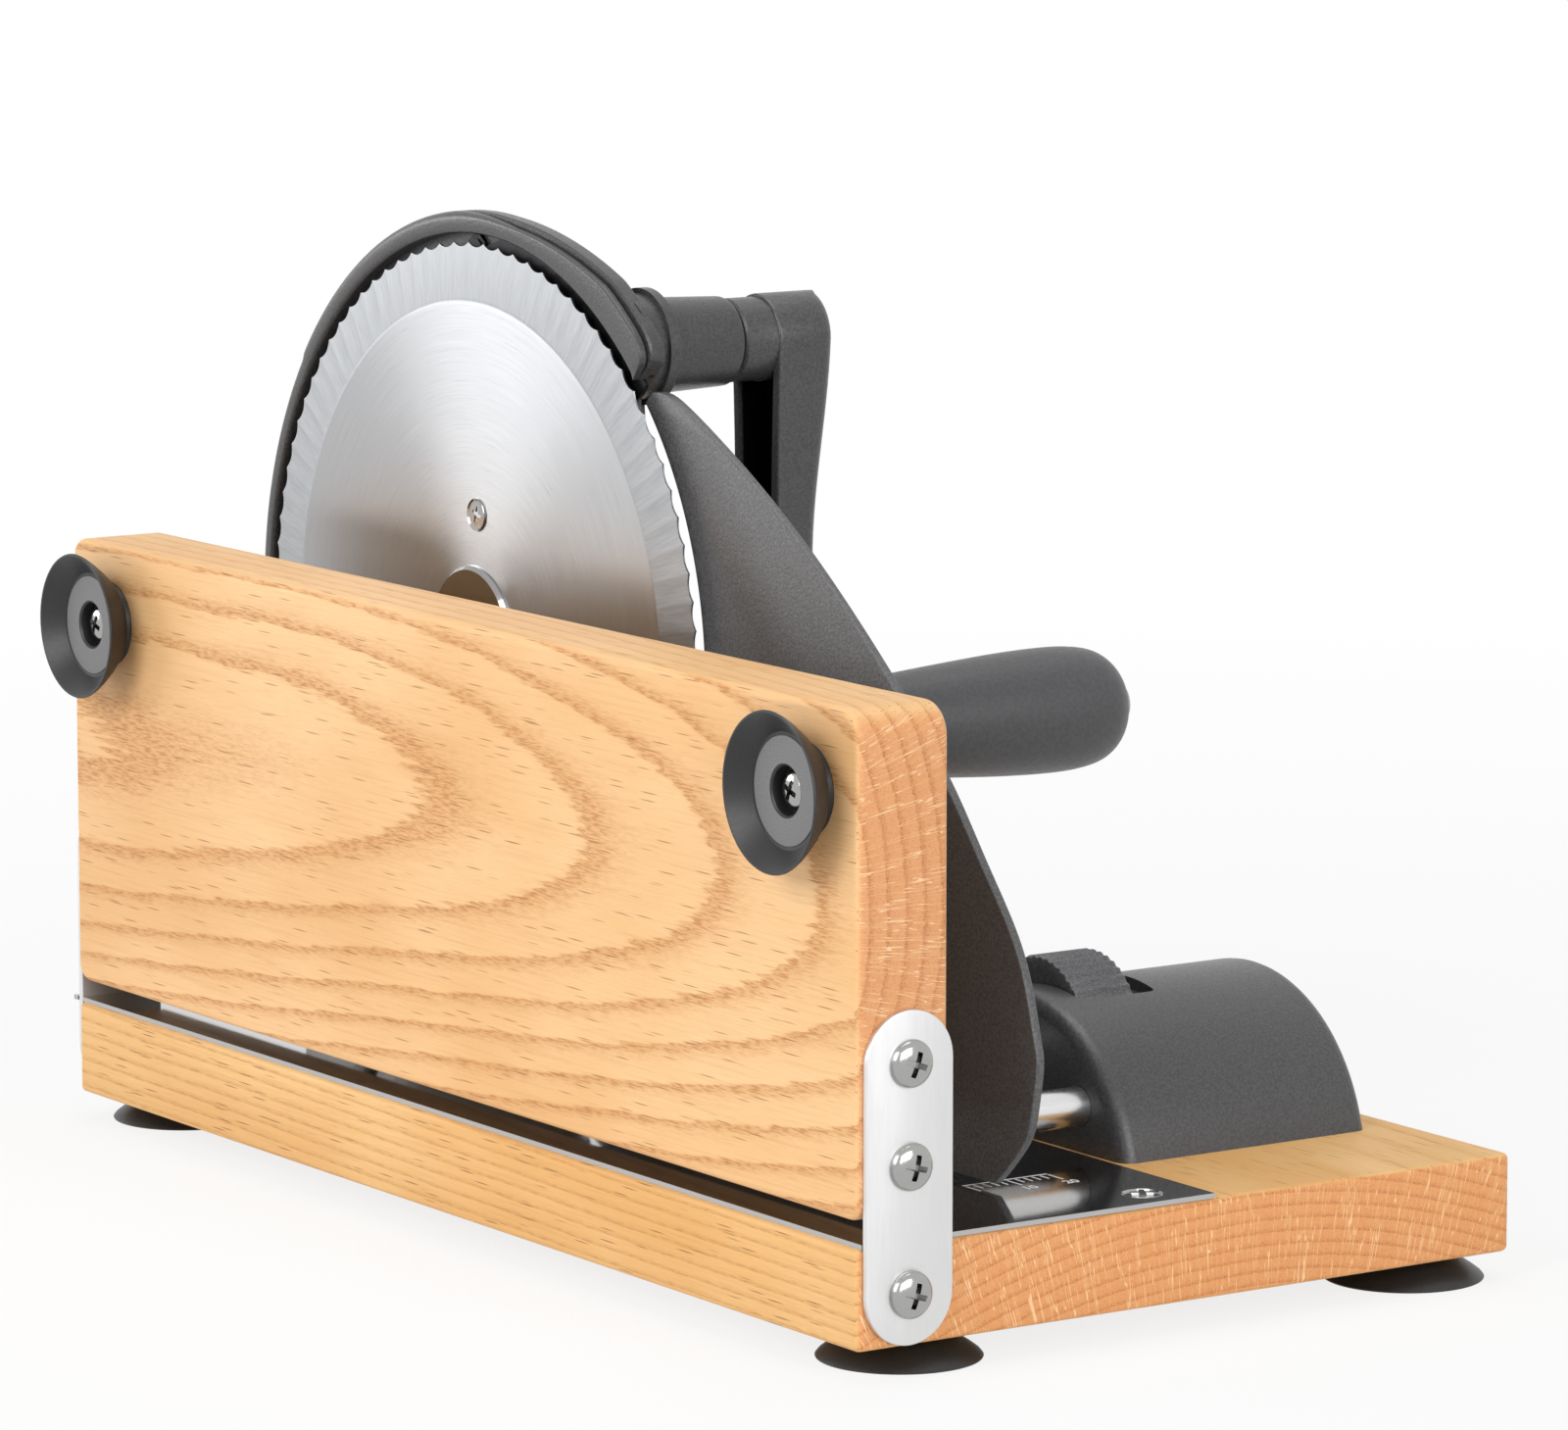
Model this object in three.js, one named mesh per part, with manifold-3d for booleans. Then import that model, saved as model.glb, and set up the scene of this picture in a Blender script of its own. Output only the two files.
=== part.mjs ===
// A hand-cranked bread slicer on an oak base, with a folding oak board.
// Lengths are millimetres and angles are radians.
// While pieces are placed, x runs across the base from the folding board's side,
// y runs along it from the user's end, and z runs up from the base's underside.
// The origin of the finished object is the centre of the base's underside.

import * as THREE from "three";
import { mergeVertices } from "three/addons/utils/BufferGeometryUtils.js";
import Module from "manifold-3d";

const wasm = await Module();
wasm.setup();

// Shared clearances and cutting overrun

const touchGap = 0.3;
const runningGap = 0.1;
const overrun = 1;

// Numbers of sides

const sides = { screw: 10, small: 14, medium: 22, large: 32, blade: 60, corner: 5, arc: 24, curve: 6 };

// Driving dimensions

const base = { width: 160, length: 304, thickness: 20, roundCorner: 2.5, hingeCorner: 1.5 };

const slidePlate = { thickness: 1, width: 84, inset: 1, finger: 1.8, notchGap: 0.4 };
const plateTop = base.thickness + slidePlate.thickness;

const scaleMarks = { y: 33, depth: 0.2, width: 0.5, longTick: 5, shortTick: 3, gap: 0.6, step: 2 };
scaleMarks.count = 11;
scaleMarks.longEvery = 5;

const boardGap = 4.2;
const board = { thickness: base.thickness + slidePlate.thickness, height: 98.5 };
board.bottom = plateTop + boardGap;
board.top = board.bottom + board.height;
board.nearCorner = 6.5;
board.farCorner = 4;
board.endGap = 0.2;

const pivot = { x: 11, z: 10.5 };

const strap = { width: 20, thickness: 1.5, top: 65.7, screwDrop: 10.3 };
strap.screwPitch = 20;
strap.topScrew = strap.top - strap.screwDrop;

const panScrew = { head: 4.7, headHeight: 2.4, shank: 2, length: 16 };
panScrew.cross = 0.9;
panScrew.crossDepth = 1;
panScrew.crossReach = 2.4;

const cup = { rim: 15.8, back: 9, height: 9, stem: 1.2, lip: 0.8, floor: 11.2, floorDepth: 4, well: 4.8 };
cup.seat = 2.2;
cup.inset = 17;

const footCup = { ...cup, rim: 16.4, height: 6, floorDepth: 2.2 };
footCup.left = 20.5;
footCup.rightInset = 15.5;
footCup.near = 15.5;
footCup.farInset = 12;
footCup.right = base.width - footCup.rightInset;
footCup.far = base.length - footCup.farInset;

const countersunk = { head: 4.2, shank: 1.8, length: 14, cone: 2.4 };
countersunk.cross = 0.7;
countersunk.crossDepth = 0.9;
countersunk.crossReach = 2.2;
countersunk.inset = { x: 12, y: 7.7 };

const blade = { radius: 85, thickness: 1.4, front: 46.2, y: 211.4, z: 108.2, teeth: 90, toothDepth: 1.1 };
blade.back = blade.front + blade.thickness;
blade.bevel = 12.5;
blade.bevelDepth = 0.5;
blade.bore = 7.6;

const bladeScrew = { circle: 27.2, head: 3.5, headHeight: 0.5, shank: 1.8, count: 3, turn: 0.05 };
bladeScrew.cross = 0.6;
bladeScrew.crossReach = 1.9;

const hub = { flange: 31, flangeThickness: 1.6, sleeve: 10.5, cap: 16, capThickness: 1.3, capChamfer: 0.6 };
hub.axle = 5;
hub.flangeBack = blade.back + hub.flangeThickness;

// Gear train from the crank to the blade

const gear = { module: 1.25, crankTeeth: 12, idlerTeeth: 52, bladeTeeth: 31, width: 4, backlash: 0.34 };
gear.addendum = 0.75 * gear.module;
gear.dedendum = 1.15 * gear.module;
gear.pressureAngle = THREE.MathUtils.degToRad(22);

const crankDistance = 84.4;
const crankDirection = THREE.MathUtils.degToRad(127.5);

const cover = { thickness: 0.8, gap: 0.4, lap: 1.5, ear: 4, hubHole: 12.5 };
cover.rivet = 1.5;
cover.rivetHead = 3;
cover.rivetDome = 0.4;
cover.front = hub.flangeBack + cover.gap;
cover.back = cover.front + cover.thickness;
cover.earAngles = [60, -20];

const gearCase = { front: cover.back, frontGap: 0.4, backGap: 0.4, wall: 2, wallBack: 2, tipGap: 0.7 };
gearCase.gearFront = gearCase.front + gearCase.frontGap;
gearCase.gearBack = gearCase.gearFront + gear.width;
gearCase.floor = gearCase.gearBack + gearCase.backGap;
gearCase.back = gearCase.floor + gearCase.wallBack;

const guard = { toothGap: 1.8, wall: 4.7, tipSwell: 3.8, webLap: 1.2, webTipInset: 6.8, front: 46.8, plate: 2 };
guard.inner = blade.radius + guard.toothGap;
guard.outer = guard.inner + guard.wall;
guard.tipReach = guard.outer + guard.tipSwell;
guard.webOuter = guard.inner + guard.webLap;
guard.start = THREE.MathUtils.degToRad(-60);
guard.bulgeStart = THREE.MathUtils.degToRad(96);
guard.bulge = THREE.MathUtils.degToRad(122);
guard.tip = THREE.MathUtils.degToRad(131);
guard.end = THREE.MathUtils.degToRad(135);
guard.webBack = gearCase.front + guard.plate;
guard.webTip = guard.inner - guard.webTipInset;

const foot = { front: 48.4, back: 84, behind: 78.6, length: 54, thickness: 6, corner: 5 };
foot.far = blade.y + foot.behind;
foot.near = foot.far - foot.length;
const pillar = { front: gearCase.front, back: 66, width: 48, far: foot.far, top: 62, topFar: 92 };
pillar.near = pillar.far - pillar.width;
foot.screwInset = 8;

const axleHead = { radius: 8, thickness: 4.5 };

// Crank

const tube = { root: 10, end: 9.4, mouth: 75.8, round: 1.5 };
const bush = { outer: 6.2 };
const shaft = { radius: 4 };
const crank = { radius: 85.2, hub: 8.8, endRadius: 10.5, topRadius: 9.4, endBoss: 6.5 };
crank.front = tube.mouth + touchGap;
crank.hubLength = 7.9;
crank.armDepth = 11;
crank.topSwell = 3.2;
crank.armFront = crank.front + crank.hubLength;
crank.armBack = crank.armFront + crank.armDepth;
crank.topBack = crank.armBack + crank.topSwell;
crank.wall = 2.3;
crank.floor = 2.8;
crank.waist = 8.2;

const crankScrew = { head: 4, headHeight: 1.4, shank: 2, reach: 8 };

const grip = { length: 81, radius: 13.6 };
const rivet = { head: 5, headHeight: 2.6, shank: 3, flange: 1, edge: 1 };

// Stop plate and its adjuster

const stopPlate = { zero: 48, reading: 2.5, thickness: 2, near: 12.1, bottom: 22.3, bladeLap: 2.5, rearGap: 25.4 };
stopPlate.inner = blade.radius - stopPlate.bladeLap;
stopPlate.rear = blade.y - stopPlate.rearGap;
stopPlate.tipWidth = 3.6;
stopPlate.tipAngle = THREE.MathUtils.degToRad(136.93);
stopPlate.tip = blade.y + (stopPlate.inner + stopPlate.tipWidth) * Math.cos(stopPlate.tipAngle);
stopPlate.top = blade.z + (stopPlate.inner + stopPlate.tipWidth) * Math.sin(stopPlate.tipAngle);
stopPlate.front = stopPlate.zero + stopPlate.reading;
stopPlate.back = stopPlate.front + stopPlate.thickness;

// The stop plate's curved outer edge, as shares of its length and height
const outerEdgeShares = [
  [0.103, 0],
  [0.067, 0.03],
  [0.024, 0.077],
  [0.007, 0.134],
  [0, 0.182],
  [0.008, 0.215],
  [0.033, 0.291],
  [0.069, 0.353],
  [0.142, 0.437],
  [0.24, 0.545],
  [0.377, 0.663],
  [0.566, 0.799],
  [0.747, 0.905],
  [0.933, 0.992],
  [1, 1],
];

const barrel = { radius: 38.2, y: 72, z: 11.6, length: 62.1, backInset: 9.3, wall: 2.4 };
barrel.bottom = base.thickness;
barrel.back = base.width - barrel.backInset;
barrel.front = barrel.back - barrel.length;

const guide = { radius: 4, y: 73, z: 29.5, spread: 46, backGap: 26.2 };
const screw = { radius: 4, y: 76.5, z: 39.2, backGap: 24.2 };
const wheel = { radius: 16, frontGap: 9, width: 14.4, ridges: 44, ridgeDepth: 0.5 };
wheel.front = barrel.front + wheel.frontGap;
wheel.boss = 7;
wheel.bossLength = 4.6;
wheel.back = wheel.front + wheel.width;
const slot = { frontGap: 8.5, width: 19, near: 15, far: 18 };
slot.front = barrel.front + slot.frontGap;
slot.back = slot.front + slot.width;
const carrier = { thickness: 5, wall: 4, pad: 1.5 };
carrier.seat = stopPlate.back + carrier.pad;
guide.length = barrel.back - barrel.wall - guide.backGap - carrier.seat - runningGap;
screw.length = barrel.back - barrel.wall - screw.backGap - carrier.seat - runningGap;
const bracket = { thickness: 4, flange: 14, flangeThickness: 2.5 };
bracket.front = wheel.back + wheel.bossLength + touchGap;
const housingScrew = { insetX: 6.3, insetY: 7.8, boss: 4.2, bite: 6, recess: 4 };

// Colours of the materials

const finishes = {
  oak: { color: 0xd9a566, roughness: 0.6, metalness: 0 },
  polished: { color: 0xc9cacb, roughness: 0.08, metalness: 1 },
  brushed: { color: 0xc4c6c8, roughness: 0.35, metalness: 1 },
  black: { color: 0x2b2c2e, roughness: 0.6, metalness: 0 },
  rubber: { color: 0x232425, roughness: 0.8, metalness: 0 },
  steel: { color: 0xa9abad, roughness: 0.3, metalness: 1 },
  nylon: { color: 0xdedbd0, roughness: 0.5, metalness: 0 },
  bronze: { color: 0xa9814a, roughness: 0.4, metalness: 1 },
};

// Turning shapes into solids

function solidOf(geometry) {
  const plain = geometry.clone();
  plain.deleteAttribute("normal");
  plain.deleteAttribute("uv");
  const merged = mergeVertices(plain);
  const vertProperties = new Float32Array(merged.attributes.position.array);
  const triVerts = new Uint32Array(merged.index.array);
  return new wasm.Manifold(new wasm.Mesh({ numProp: 3, vertProperties, triVerts }));
}

function geometryOf(solid) {
  const mesh = solid.getMesh();
  const geometry = new THREE.BufferGeometry();
  const positions = new Float32Array(mesh.vertProperties);
  geometry.setAttribute("position", new THREE.BufferAttribute(positions, 3));
  geometry.setIndex(new THREE.BufferAttribute(new Uint32Array(mesh.triVerts), 1));
  geometry.computeVertexNormals();
  return geometry;
}

function join(geometries) {
  const solids = geometries.map(solidOf);
  return geometryOf(solids.reduce((whole, piece) => whole.add(piece)));
}

function cut(geometry, tools) {
  const start = solidOf(geometry);
  return geometryOf(tools.reduce((whole, tool) => whole.subtract(solidOf(tool)), start));
}

function common(first, second) {
  return geometryOf(solidOf(first).intersect(solidOf(second)));
}

// Extrusions of a flat shape along each axis

const alongX = new THREE.Matrix4().set(0, 0, 1, 0, 1, 0, 0, 0, 0, 1, 0, 0, 0, 0, 0, 1);
const alongY = new THREE.Matrix4().set(0, 1, 0, 0, 0, 0, 1, 0, 1, 0, 0, 0, 0, 0, 0, 1);

function extrude(shape, depth, curveSegments = sides.corner) {
  return new THREE.ExtrudeGeometry(shape, { depth, bevelEnabled: false, curveSegments });
}

function slabX(shape, from, to, curveSegments) {
  return extrude(shape, to - from, curveSegments).applyMatrix4(alongX).translate(from, 0, 0);
}

function slabY(shape, from, to, curveSegments) {
  return extrude(shape, to - from, curveSegments).applyMatrix4(alongY).translate(0, from, 0);
}

function slabZ(shape, from, to, curveSegments) {
  return extrude(shape, to - from, curveSegments).translate(0, 0, from);
}

function block(low, high) {
  const size = high.map((value, axis) => value - low[axis]);
  const middle = high.map((value, axis) => (value + low[axis]) / 2);
  return new THREE.BoxGeometry(...size).translate(...middle);
}

// Round pieces: a profile of [radius, place along the axis] turned about x or z

function turned(profile, count) {
  const points = profile.map(([radius, along]) => new THREE.Vector2(radius, along));
  return new THREE.LatheGeometry(points, count);
}

function turnedX(profile, count) {
  return turned(profile, count).rotateZ(-Math.PI / 2).rotateX(Math.PI / count);
}

function turnedZ(profile, count) {
  return turned(profile, count).rotateX(Math.PI / 2);
}

function rodProfile(radius, from, to) {
  return [[0, from], [radius, from], [radius, to], [0, to]];
}

function sleeveProfile(inner, outer, from, to) {
  return [[inner, from], [outer, from], [outer, to], [inner, to], [inner, from]];
}

// Flat outlines

function circle(radius, y = 0, z = 0) {
  const shape = new THREE.Shape();
  shape.absarc(y, z, radius, 0, 2 * Math.PI, false);
  return shape;
}

// Runs the outline on along a smooth curve through the points, from where it is now
function smoothTo(shape, points, count) {
  const curve = new THREE.SplineCurve([shape.currentPoint.clone(), ...points]);
  for (const point of curve.getPoints(count).slice(1)) shape.lineTo(point.x, point.y);
}

function polar(radius, angle) {
  return [radius * Math.cos(angle), radius * Math.sin(angle)];
}

function roundedRectangle(low, high, radii) {
  const [x0, y0] = low;
  const [x1, y1] = high;
  const [lowLow, highLow, highHigh, lowHigh] = radii;
  const quarter = Math.PI / 2;
  const shape = new THREE.Shape();
  shape.moveTo(x0 + lowLow, y0);
  shape.lineTo(x1 - highLow, y0);
  shape.absarc(x1 - highLow, y0 + highLow, highLow, -quarter, 0, false);
  shape.lineTo(x1, y1 - highHigh);
  shape.absarc(x1 - highHigh, y1 - highHigh, highHigh, 0, quarter, false);
  shape.lineTo(x0 + lowHigh, y1);
  shape.absarc(x0 + lowHigh, y1 - lowHigh, lowHigh, quarter, 2 * quarter, false);
  shape.lineTo(x0, y0 + lowLow);
  shape.absarc(x0 + lowLow, y0 + lowLow, lowLow, 2 * quarter, 3 * quarter, false);
  return shape;
}

// The finished object, and groups that carry what turns about one axis

const slicer = new THREE.Group();
const placed = new THREE.Group();
placed.position.set(-base.width / 2, -base.length / 2, 0);
slicer.add(placed);

const crankAxis = {
  y: blade.y + crankDistance * Math.cos(crankDirection),
  z: blade.z + crankDistance * Math.sin(crankDirection),
};

function groupAt(x, y, z) {
  const group = new THREE.Group();
  group.position.set(x, y, z);
  placed.add(group);
  return group;
}

const bladeGroup = groupAt(0, blade.y, blade.z);
const crankGroup = groupAt(0, crankAxis.y, crankAxis.z);
const gripGroup = groupAt(0, crankAxis.y, crankAxis.z - crank.radius);
const wheelGroup = groupAt(0, screw.y, screw.z);

function add(name, geometry, finish, parent = placed) {
  const mesh = new THREE.Mesh(geometry, new THREE.MeshStandardMaterial(finishes[finish]));
  mesh.name = name;
  parent.add(mesh);
  return mesh;
}

// Screws point along +z, with the head's underside at zero, before they are turned to their place

function panHeadScrew(sizes = panScrew) {
  const rounding = sizes.headHeight / 2;
  return turnedZ([
    [0, -sizes.headHeight],
    [sizes.head - rounding, -sizes.headHeight],
    [sizes.head, -rounding],
    [sizes.head, 0],
    [sizes.shank, 0],
    [sizes.shank, sizes.length - sizes.shank],
    [0, sizes.length],
  ], sides.screw);
}

// A screw whose head shows has its cross cut in
function crossHeadScrew(sizes = panScrew) {
  return cut(panHeadScrew(sizes), crossTools(sizes, -sizes.headHeight));
}

function crossTools(sizes, top) {
  const half = sizes.cross / 2;
  const reach = sizes.crossReach;
  const low = top - overrun;
  const high = top + sizes.crossDepth;
  return [
    block([-reach, -half, low], [reach, half, high]),
    block([-half, -reach, low], [half, reach, high]),
  ];
}

function countersunkScrew(sizes = countersunk) {
  const body = turnedZ([
    [0, 0],
    [sizes.head, 0],
    [sizes.shank, sizes.cone],
    [sizes.shank, sizes.length - sizes.shank],
    [0, sizes.length],
  ], sides.screw);
  return cut(body, crossTools(sizes, 0));
}

function screwHole(sizes, depth = sizes.length) {
  return turnedZ(rodProfile(sizes.shank + runningGap, -overrun, depth + runningGap), sides.screw);
}

// A screw hole with a recess that takes the whole head
function recessedHole(sizes, recess) {
  return turnedZ([
    [0, -recess - overrun],
    [sizes.head + touchGap, -recess - overrun],
    [sizes.head + touchGap, 0],
    [sizes.shank + runningGap, 0],
    [sizes.shank + runningGap, sizes.length + runningGap],
    [0, sizes.length + runningGap],
  ], sides.screw);
}

function countersinkHole(sizes) {
  return turnedZ([
    [0, -overrun],
    [sizes.head + runningGap + overrun, -overrun],
    [sizes.head + runningGap, 0],
    [sizes.shank + runningGap, sizes.cone],
    [sizes.shank + runningGap, sizes.length + runningGap],
    [0, sizes.length + runningGap],
  ], sides.screw);
}

const faces = {
  down: (geometry) => geometry.rotateX(Math.PI),
  up: (geometry) => geometry,
  right: (geometry) => geometry.rotateY(Math.PI / 2),
  left: (geometry) => geometry.rotateY(-Math.PI / 2),
  away: (geometry) => geometry.rotateX(-Math.PI / 2),
  near: (geometry) => geometry.rotateX(Math.PI / 2),
};

function put(geometry, way, at) {
  return faces[way](geometry).translate(...at);
}

// Where the screws go

const ends = [
  { name: "near", face: -board.endGap, way: "away", sign: 1 },
  { name: "far", face: base.length + board.endGap, way: "near", sign: -1 },
];

const strapScrewHeights = [strap.topScrew, strap.topScrew - strap.screwPitch];

function strapOuterFace(end) {
  return end.face - end.sign * strap.thickness;
}

const cupPlaces = [
  [0, cup.inset, board.top - cup.inset],
  [0, base.length - cup.inset, board.top - cup.inset],
];

const footPlaces = [
  [footCup.left, footCup.near, 0],
  [footCup.right, footCup.near, 0],
  [footCup.left, footCup.far, 0],
  [footCup.right, footCup.far, 0],
];

const plateRight = slidePlate.inset + slidePlate.width;
const plateScrewPlaces = [
  [plateRight - countersunk.inset.x, countersunk.inset.y, plateTop],
  [plateRight - countersunk.inset.x, base.length - countersunk.inset.y, plateTop],
];

const footScrewPlaces = [
  [foot.back - foot.screwInset, foot.near + foot.screwInset],
  [foot.back - foot.screwInset, foot.far - foot.screwInset],
];
const footTop = plateTop + foot.thickness;

const housingScrewPlaces = [
  [barrel.back - housingScrew.insetX, barrel.y - barrel.radius + housingScrew.insetY],
  [barrel.back - housingScrew.insetX, barrel.y + barrel.radius - housingScrew.insetY],
];

const bracketScrewPlace = [bracket.front + bracket.thickness + bracket.flange / 2, guide.y];
const bracketSeat = base.thickness + bracket.flangeThickness;

const cupScrew = { ...panScrew, head: 3.9, length: 13, headHeight: 2 };
const footScrew = { ...panScrew, head: 4, length: 20 };
const boltScrew = { ...panScrew, head: 3.4, shank: 1.6, length: 11, headHeight: 1.8, crossReach: 1.9 };
boltScrew.cross = 0.8;
const housingBolt = { ...boltScrew, length: base.thickness - housingScrew.recess + housingScrew.bite };
const housingBossTop = base.thickness + housingScrew.bite + touchGap + barrel.wall / 2;

// Base board

function baseBoard() {
  const radii = [base.hingeCorner, base.roundCorner, base.roundCorner, base.hingeCorner];
  const outline = roundedRectangle([0, 0], [base.width, base.length], radii);
  const holes = [];
  for (const end of ends) {
    const at = [pivot.x, strapOuterFace(end), pivot.z];
    holes.push(put(screwHole(panScrew), end.way, at));
  }
  for (const place of footPlaces) {
    holes.push(put(screwHole(cupScrew), "up", [place[0], place[1], -cup.seat]));
  }
  for (const place of plateScrewPlaces) {
    holes.push(put(countersinkHole(countersunk), "down", place));
  }
  for (const [x, y] of footScrewPlaces) {
    holes.push(put(screwHole(footScrew), "down", [x, y, footTop]));
  }
  for (const [x, y] of housingScrewPlaces) {
    holes.push(put(recessedHole(housingBolt, housingScrew.recess), "up", [x, y, housingScrew.recess]));
  }
  holes.push(put(screwHole(boltScrew), "down", [...bracketScrewPlace, bracketSeat]));
  return cut(slabZ(outline, 0, base.thickness), holes);
}

// Steel slide plate with its thickness scale

function slidePlateOutline() {
  const left = slidePlate.inset;
  const notch = pivot.x + strap.width / 2 + slidePlate.notchGap;
  const strapRoom = base.length + board.endGap + strap.thickness + slidePlate.notchGap;
  const far = strapRoom + slidePlate.finger;
  const shape = new THREE.Shape();
  shape.moveTo(left, 0);
  shape.lineTo(plateRight, 0);
  shape.lineTo(plateRight, far);
  shape.lineTo(left, far);
  shape.lineTo(left, strapRoom);
  shape.lineTo(notch, strapRoom);
  shape.lineTo(notch, base.length);
  shape.lineTo(left, base.length);
  shape.closePath();
  return shape;
}

function scaleTools() {
  const low = plateTop - scaleMarks.depth;
  const high = plateTop + overrun;
  const half = scaleMarks.width / 2;
  const last = stopPlate.zero + scaleMarks.step * (scaleMarks.count - 1);
  const lineStart = [stopPlate.zero - half, scaleMarks.y - half, low];
  const tools = [block(lineStart, [last + half, scaleMarks.y + half, high])];
  for (let index = 0; index < scaleMarks.count; index += 1) {
    const x = stopPlate.zero + index * scaleMarks.step;
    const reach = index % scaleMarks.longEvery === 0 ? scaleMarks.longTick : scaleMarks.shortTick;
    const start = scaleMarks.y - half - scaleMarks.gap;
    tools.push(block([x - half, start - reach, low], [x + half, start, high]));
  }
  return tools;
}

function slidePlateSolid() {
  const screws = plateScrewPlaces.map((place) => put(countersinkHole(countersunk), "down", place));
  const bolts = footScrewPlaces.map(([x, y]) => {
    return put(screwHole(footScrew), "down", [x, y, footTop]);
  });
  const sheet = slabZ(slidePlateOutline(), base.thickness, plateTop);
  return cut(sheet, [...screws, ...bolts, ...scaleTools()]);
}

// Folding board, straps and their screws

function foldingBoard() {
  const radii = [board.farCorner, board.farCorner, board.farCorner, board.farCorner];
  const low = [board.bottom, -board.endGap];
  const high = [board.top, base.length + board.endGap];
  radii[1] = board.nearCorner;
  const outline = roundedRectangle(low, high, radii);
  const slab = extrude(outline, board.thickness);
  const upright = new THREE.Matrix4().set(0, 0, -1, board.thickness, 0, 1, 0, 0, 1, 0, 0, 0, 0, 0, 0, 1);
  slab.applyMatrix4(upright);
  const holes = [];
  for (const end of ends) {
    for (const z of strapScrewHeights) {
      const at = [pivot.x, strapOuterFace(end), z];
      holes.push(put(screwHole(panScrew), end.way, at));
    }
  }
  for (const [x, y, z] of cupPlaces) {
    holes.push(put(screwHole(cupScrew), "right", [x - cup.seat, y, z]));
  }
  return cut(slab, holes);
}

function hingeStrap(end) {
  const half = strap.width / 2;
  const low = [pivot.z - half, pivot.x - half];
  const shape = roundedRectangle(low, [strap.top, pivot.x + half], [half, half, half, half]);
  const from = Math.min(end.face, strapOuterFace(end));
  const plate = slabY(shape, from, from + strap.thickness);
  const heights = [pivot.z, ...strapScrewHeights];
  const tools = heights.map((z) => {
    return put(screwHole(panScrew), end.way, [pivot.x, strapOuterFace(end), z]);
  });
  return cut(plate, tools);
}

function strapScrew(end, z) {
  return put(crossHeadScrew(), end.way, [pivot.x, strapOuterFace(end), z]);
}

// Suction cups: the stem lies on the wood and the rim faces away from it

function suctionCup(form) {
  return turnedZ([
    [cupScrew.shank + runningGap, 0],
    [cupScrew.shank + runningGap, -form.seat],
    [form.well, -form.seat],
    [form.well, -(form.height - form.floorDepth)],
    [form.floor, -(form.height - form.floorDepth)],
    [form.rim - form.lip, -form.height],
    [form.rim, -form.height],
    [form.back, -form.stem],
    [form.back, 0],
    [cupScrew.shank + runningGap, 0],
  ], sides.medium);
}

// Blade, its hub and its screws, about the blade's axis

function bladeScrewPlaces() {
  const places = [];
  for (let index = 0; index < bladeScrew.count; index += 1) {
    const angle = Math.PI / 2 + bladeScrew.turn + (2 * Math.PI * index) / bladeScrew.count;
    places.push(polar(bladeScrew.circle, angle));
  }
  return places;
}

function bladeDisc() {
  const shape = new THREE.Shape();
  const steps = 2;
  for (let index = 0; index < blade.teeth * steps; index += 1) {
    const angle = (2 * Math.PI * index) / (blade.teeth * steps);
    const radius = index % steps === 0 ? blade.radius - blade.toothDepth : blade.radius;
    const [y, z] = polar(radius, angle);
    if (index === 0) shape.moveTo(y, z);
    else shape.lineTo(y, z);
  }
  shape.closePath();
  const disc = slabX(shape, blade.front, blade.back);
  const bevel = turnedX([
    [blade.radius - blade.bevel, blade.front - overrun],
    [blade.radius + overrun, blade.front - overrun],
    [blade.radius + overrun, blade.front + 2 * blade.bevelDepth],
    [blade.radius - blade.bevel, blade.front],
    [blade.radius - blade.bevel, blade.front - overrun],
  ], sides.blade);
  const boreProfile = rodProfile(blade.bore, blade.front - overrun, blade.back + overrun);
  const bore = turnedX(boreProfile, sides.medium);
  const screws = bladeScrewPlaces().map(([y, z]) => {
    const hole = rodProfile(bladeScrew.shank + runningGap, blade.front - overrun, blade.back + overrun);
    return turnedX(hole, sides.screw).translate(0, y, z);
  });
  return cut(disc, [bevel, bore, ...screws]);
}

function bladeScrewSolid([y, z]) {
  const tip = hub.flangeBack;
  const head = blade.front - bladeScrew.headHeight;
  const body = turnedX([
    [0, head],
    [bladeScrew.head, head],
    [bladeScrew.head, blade.front],
    [bladeScrew.shank, blade.front],
    [bladeScrew.shank, tip],
    [0, tip],
  ], sides.screw);
  const half = bladeScrew.cross / 2;
  const reach = bladeScrew.crossReach;
  const floor = head + bladeScrew.headHeight / 2;
  const tools = [
    block([head - overrun, -reach, -half], [floor, reach, half]),
    block([head - overrun, -half, -reach], [floor, half, reach]),
  ];
  return cut(body, tools).translate(0, y, z);
}

function bladeHub() {
  const back = gearCase.gearBack;
  const bore = hub.axle + runningGap;
  const body = turnedX([
    [bore, blade.back],
    [hub.flange, blade.back],
    [hub.flange, hub.flangeBack],
    [hub.sleeve, hub.flangeBack],
    [hub.sleeve, back],
    [bore, back],
    [bore, blade.back],
  ], sides.large);
  const holes = bladeScrewPlaces().map(([y, z]) => {
    const radius = bladeScrew.shank + runningGap;
    const profile = rodProfile(radius, blade.back - overrun, hub.flangeBack + overrun);
    return turnedX(profile, sides.screw).translate(0, y, z);
  });
  return cut(body, holes);
}

function hubCap() {
  const face = blade.front - hub.capThickness;
  const plug = blade.bore - runningGap;
  return turnedX([
    [0, face],
    [hub.cap - hub.capChamfer, face],
    [hub.cap, face + hub.capChamfer],
    [hub.cap, blade.front],
    [plug, blade.front],
    [plug, blade.back - runningGap],
    [0, blade.back - runningGap],
  ], sides.large);
}

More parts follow.
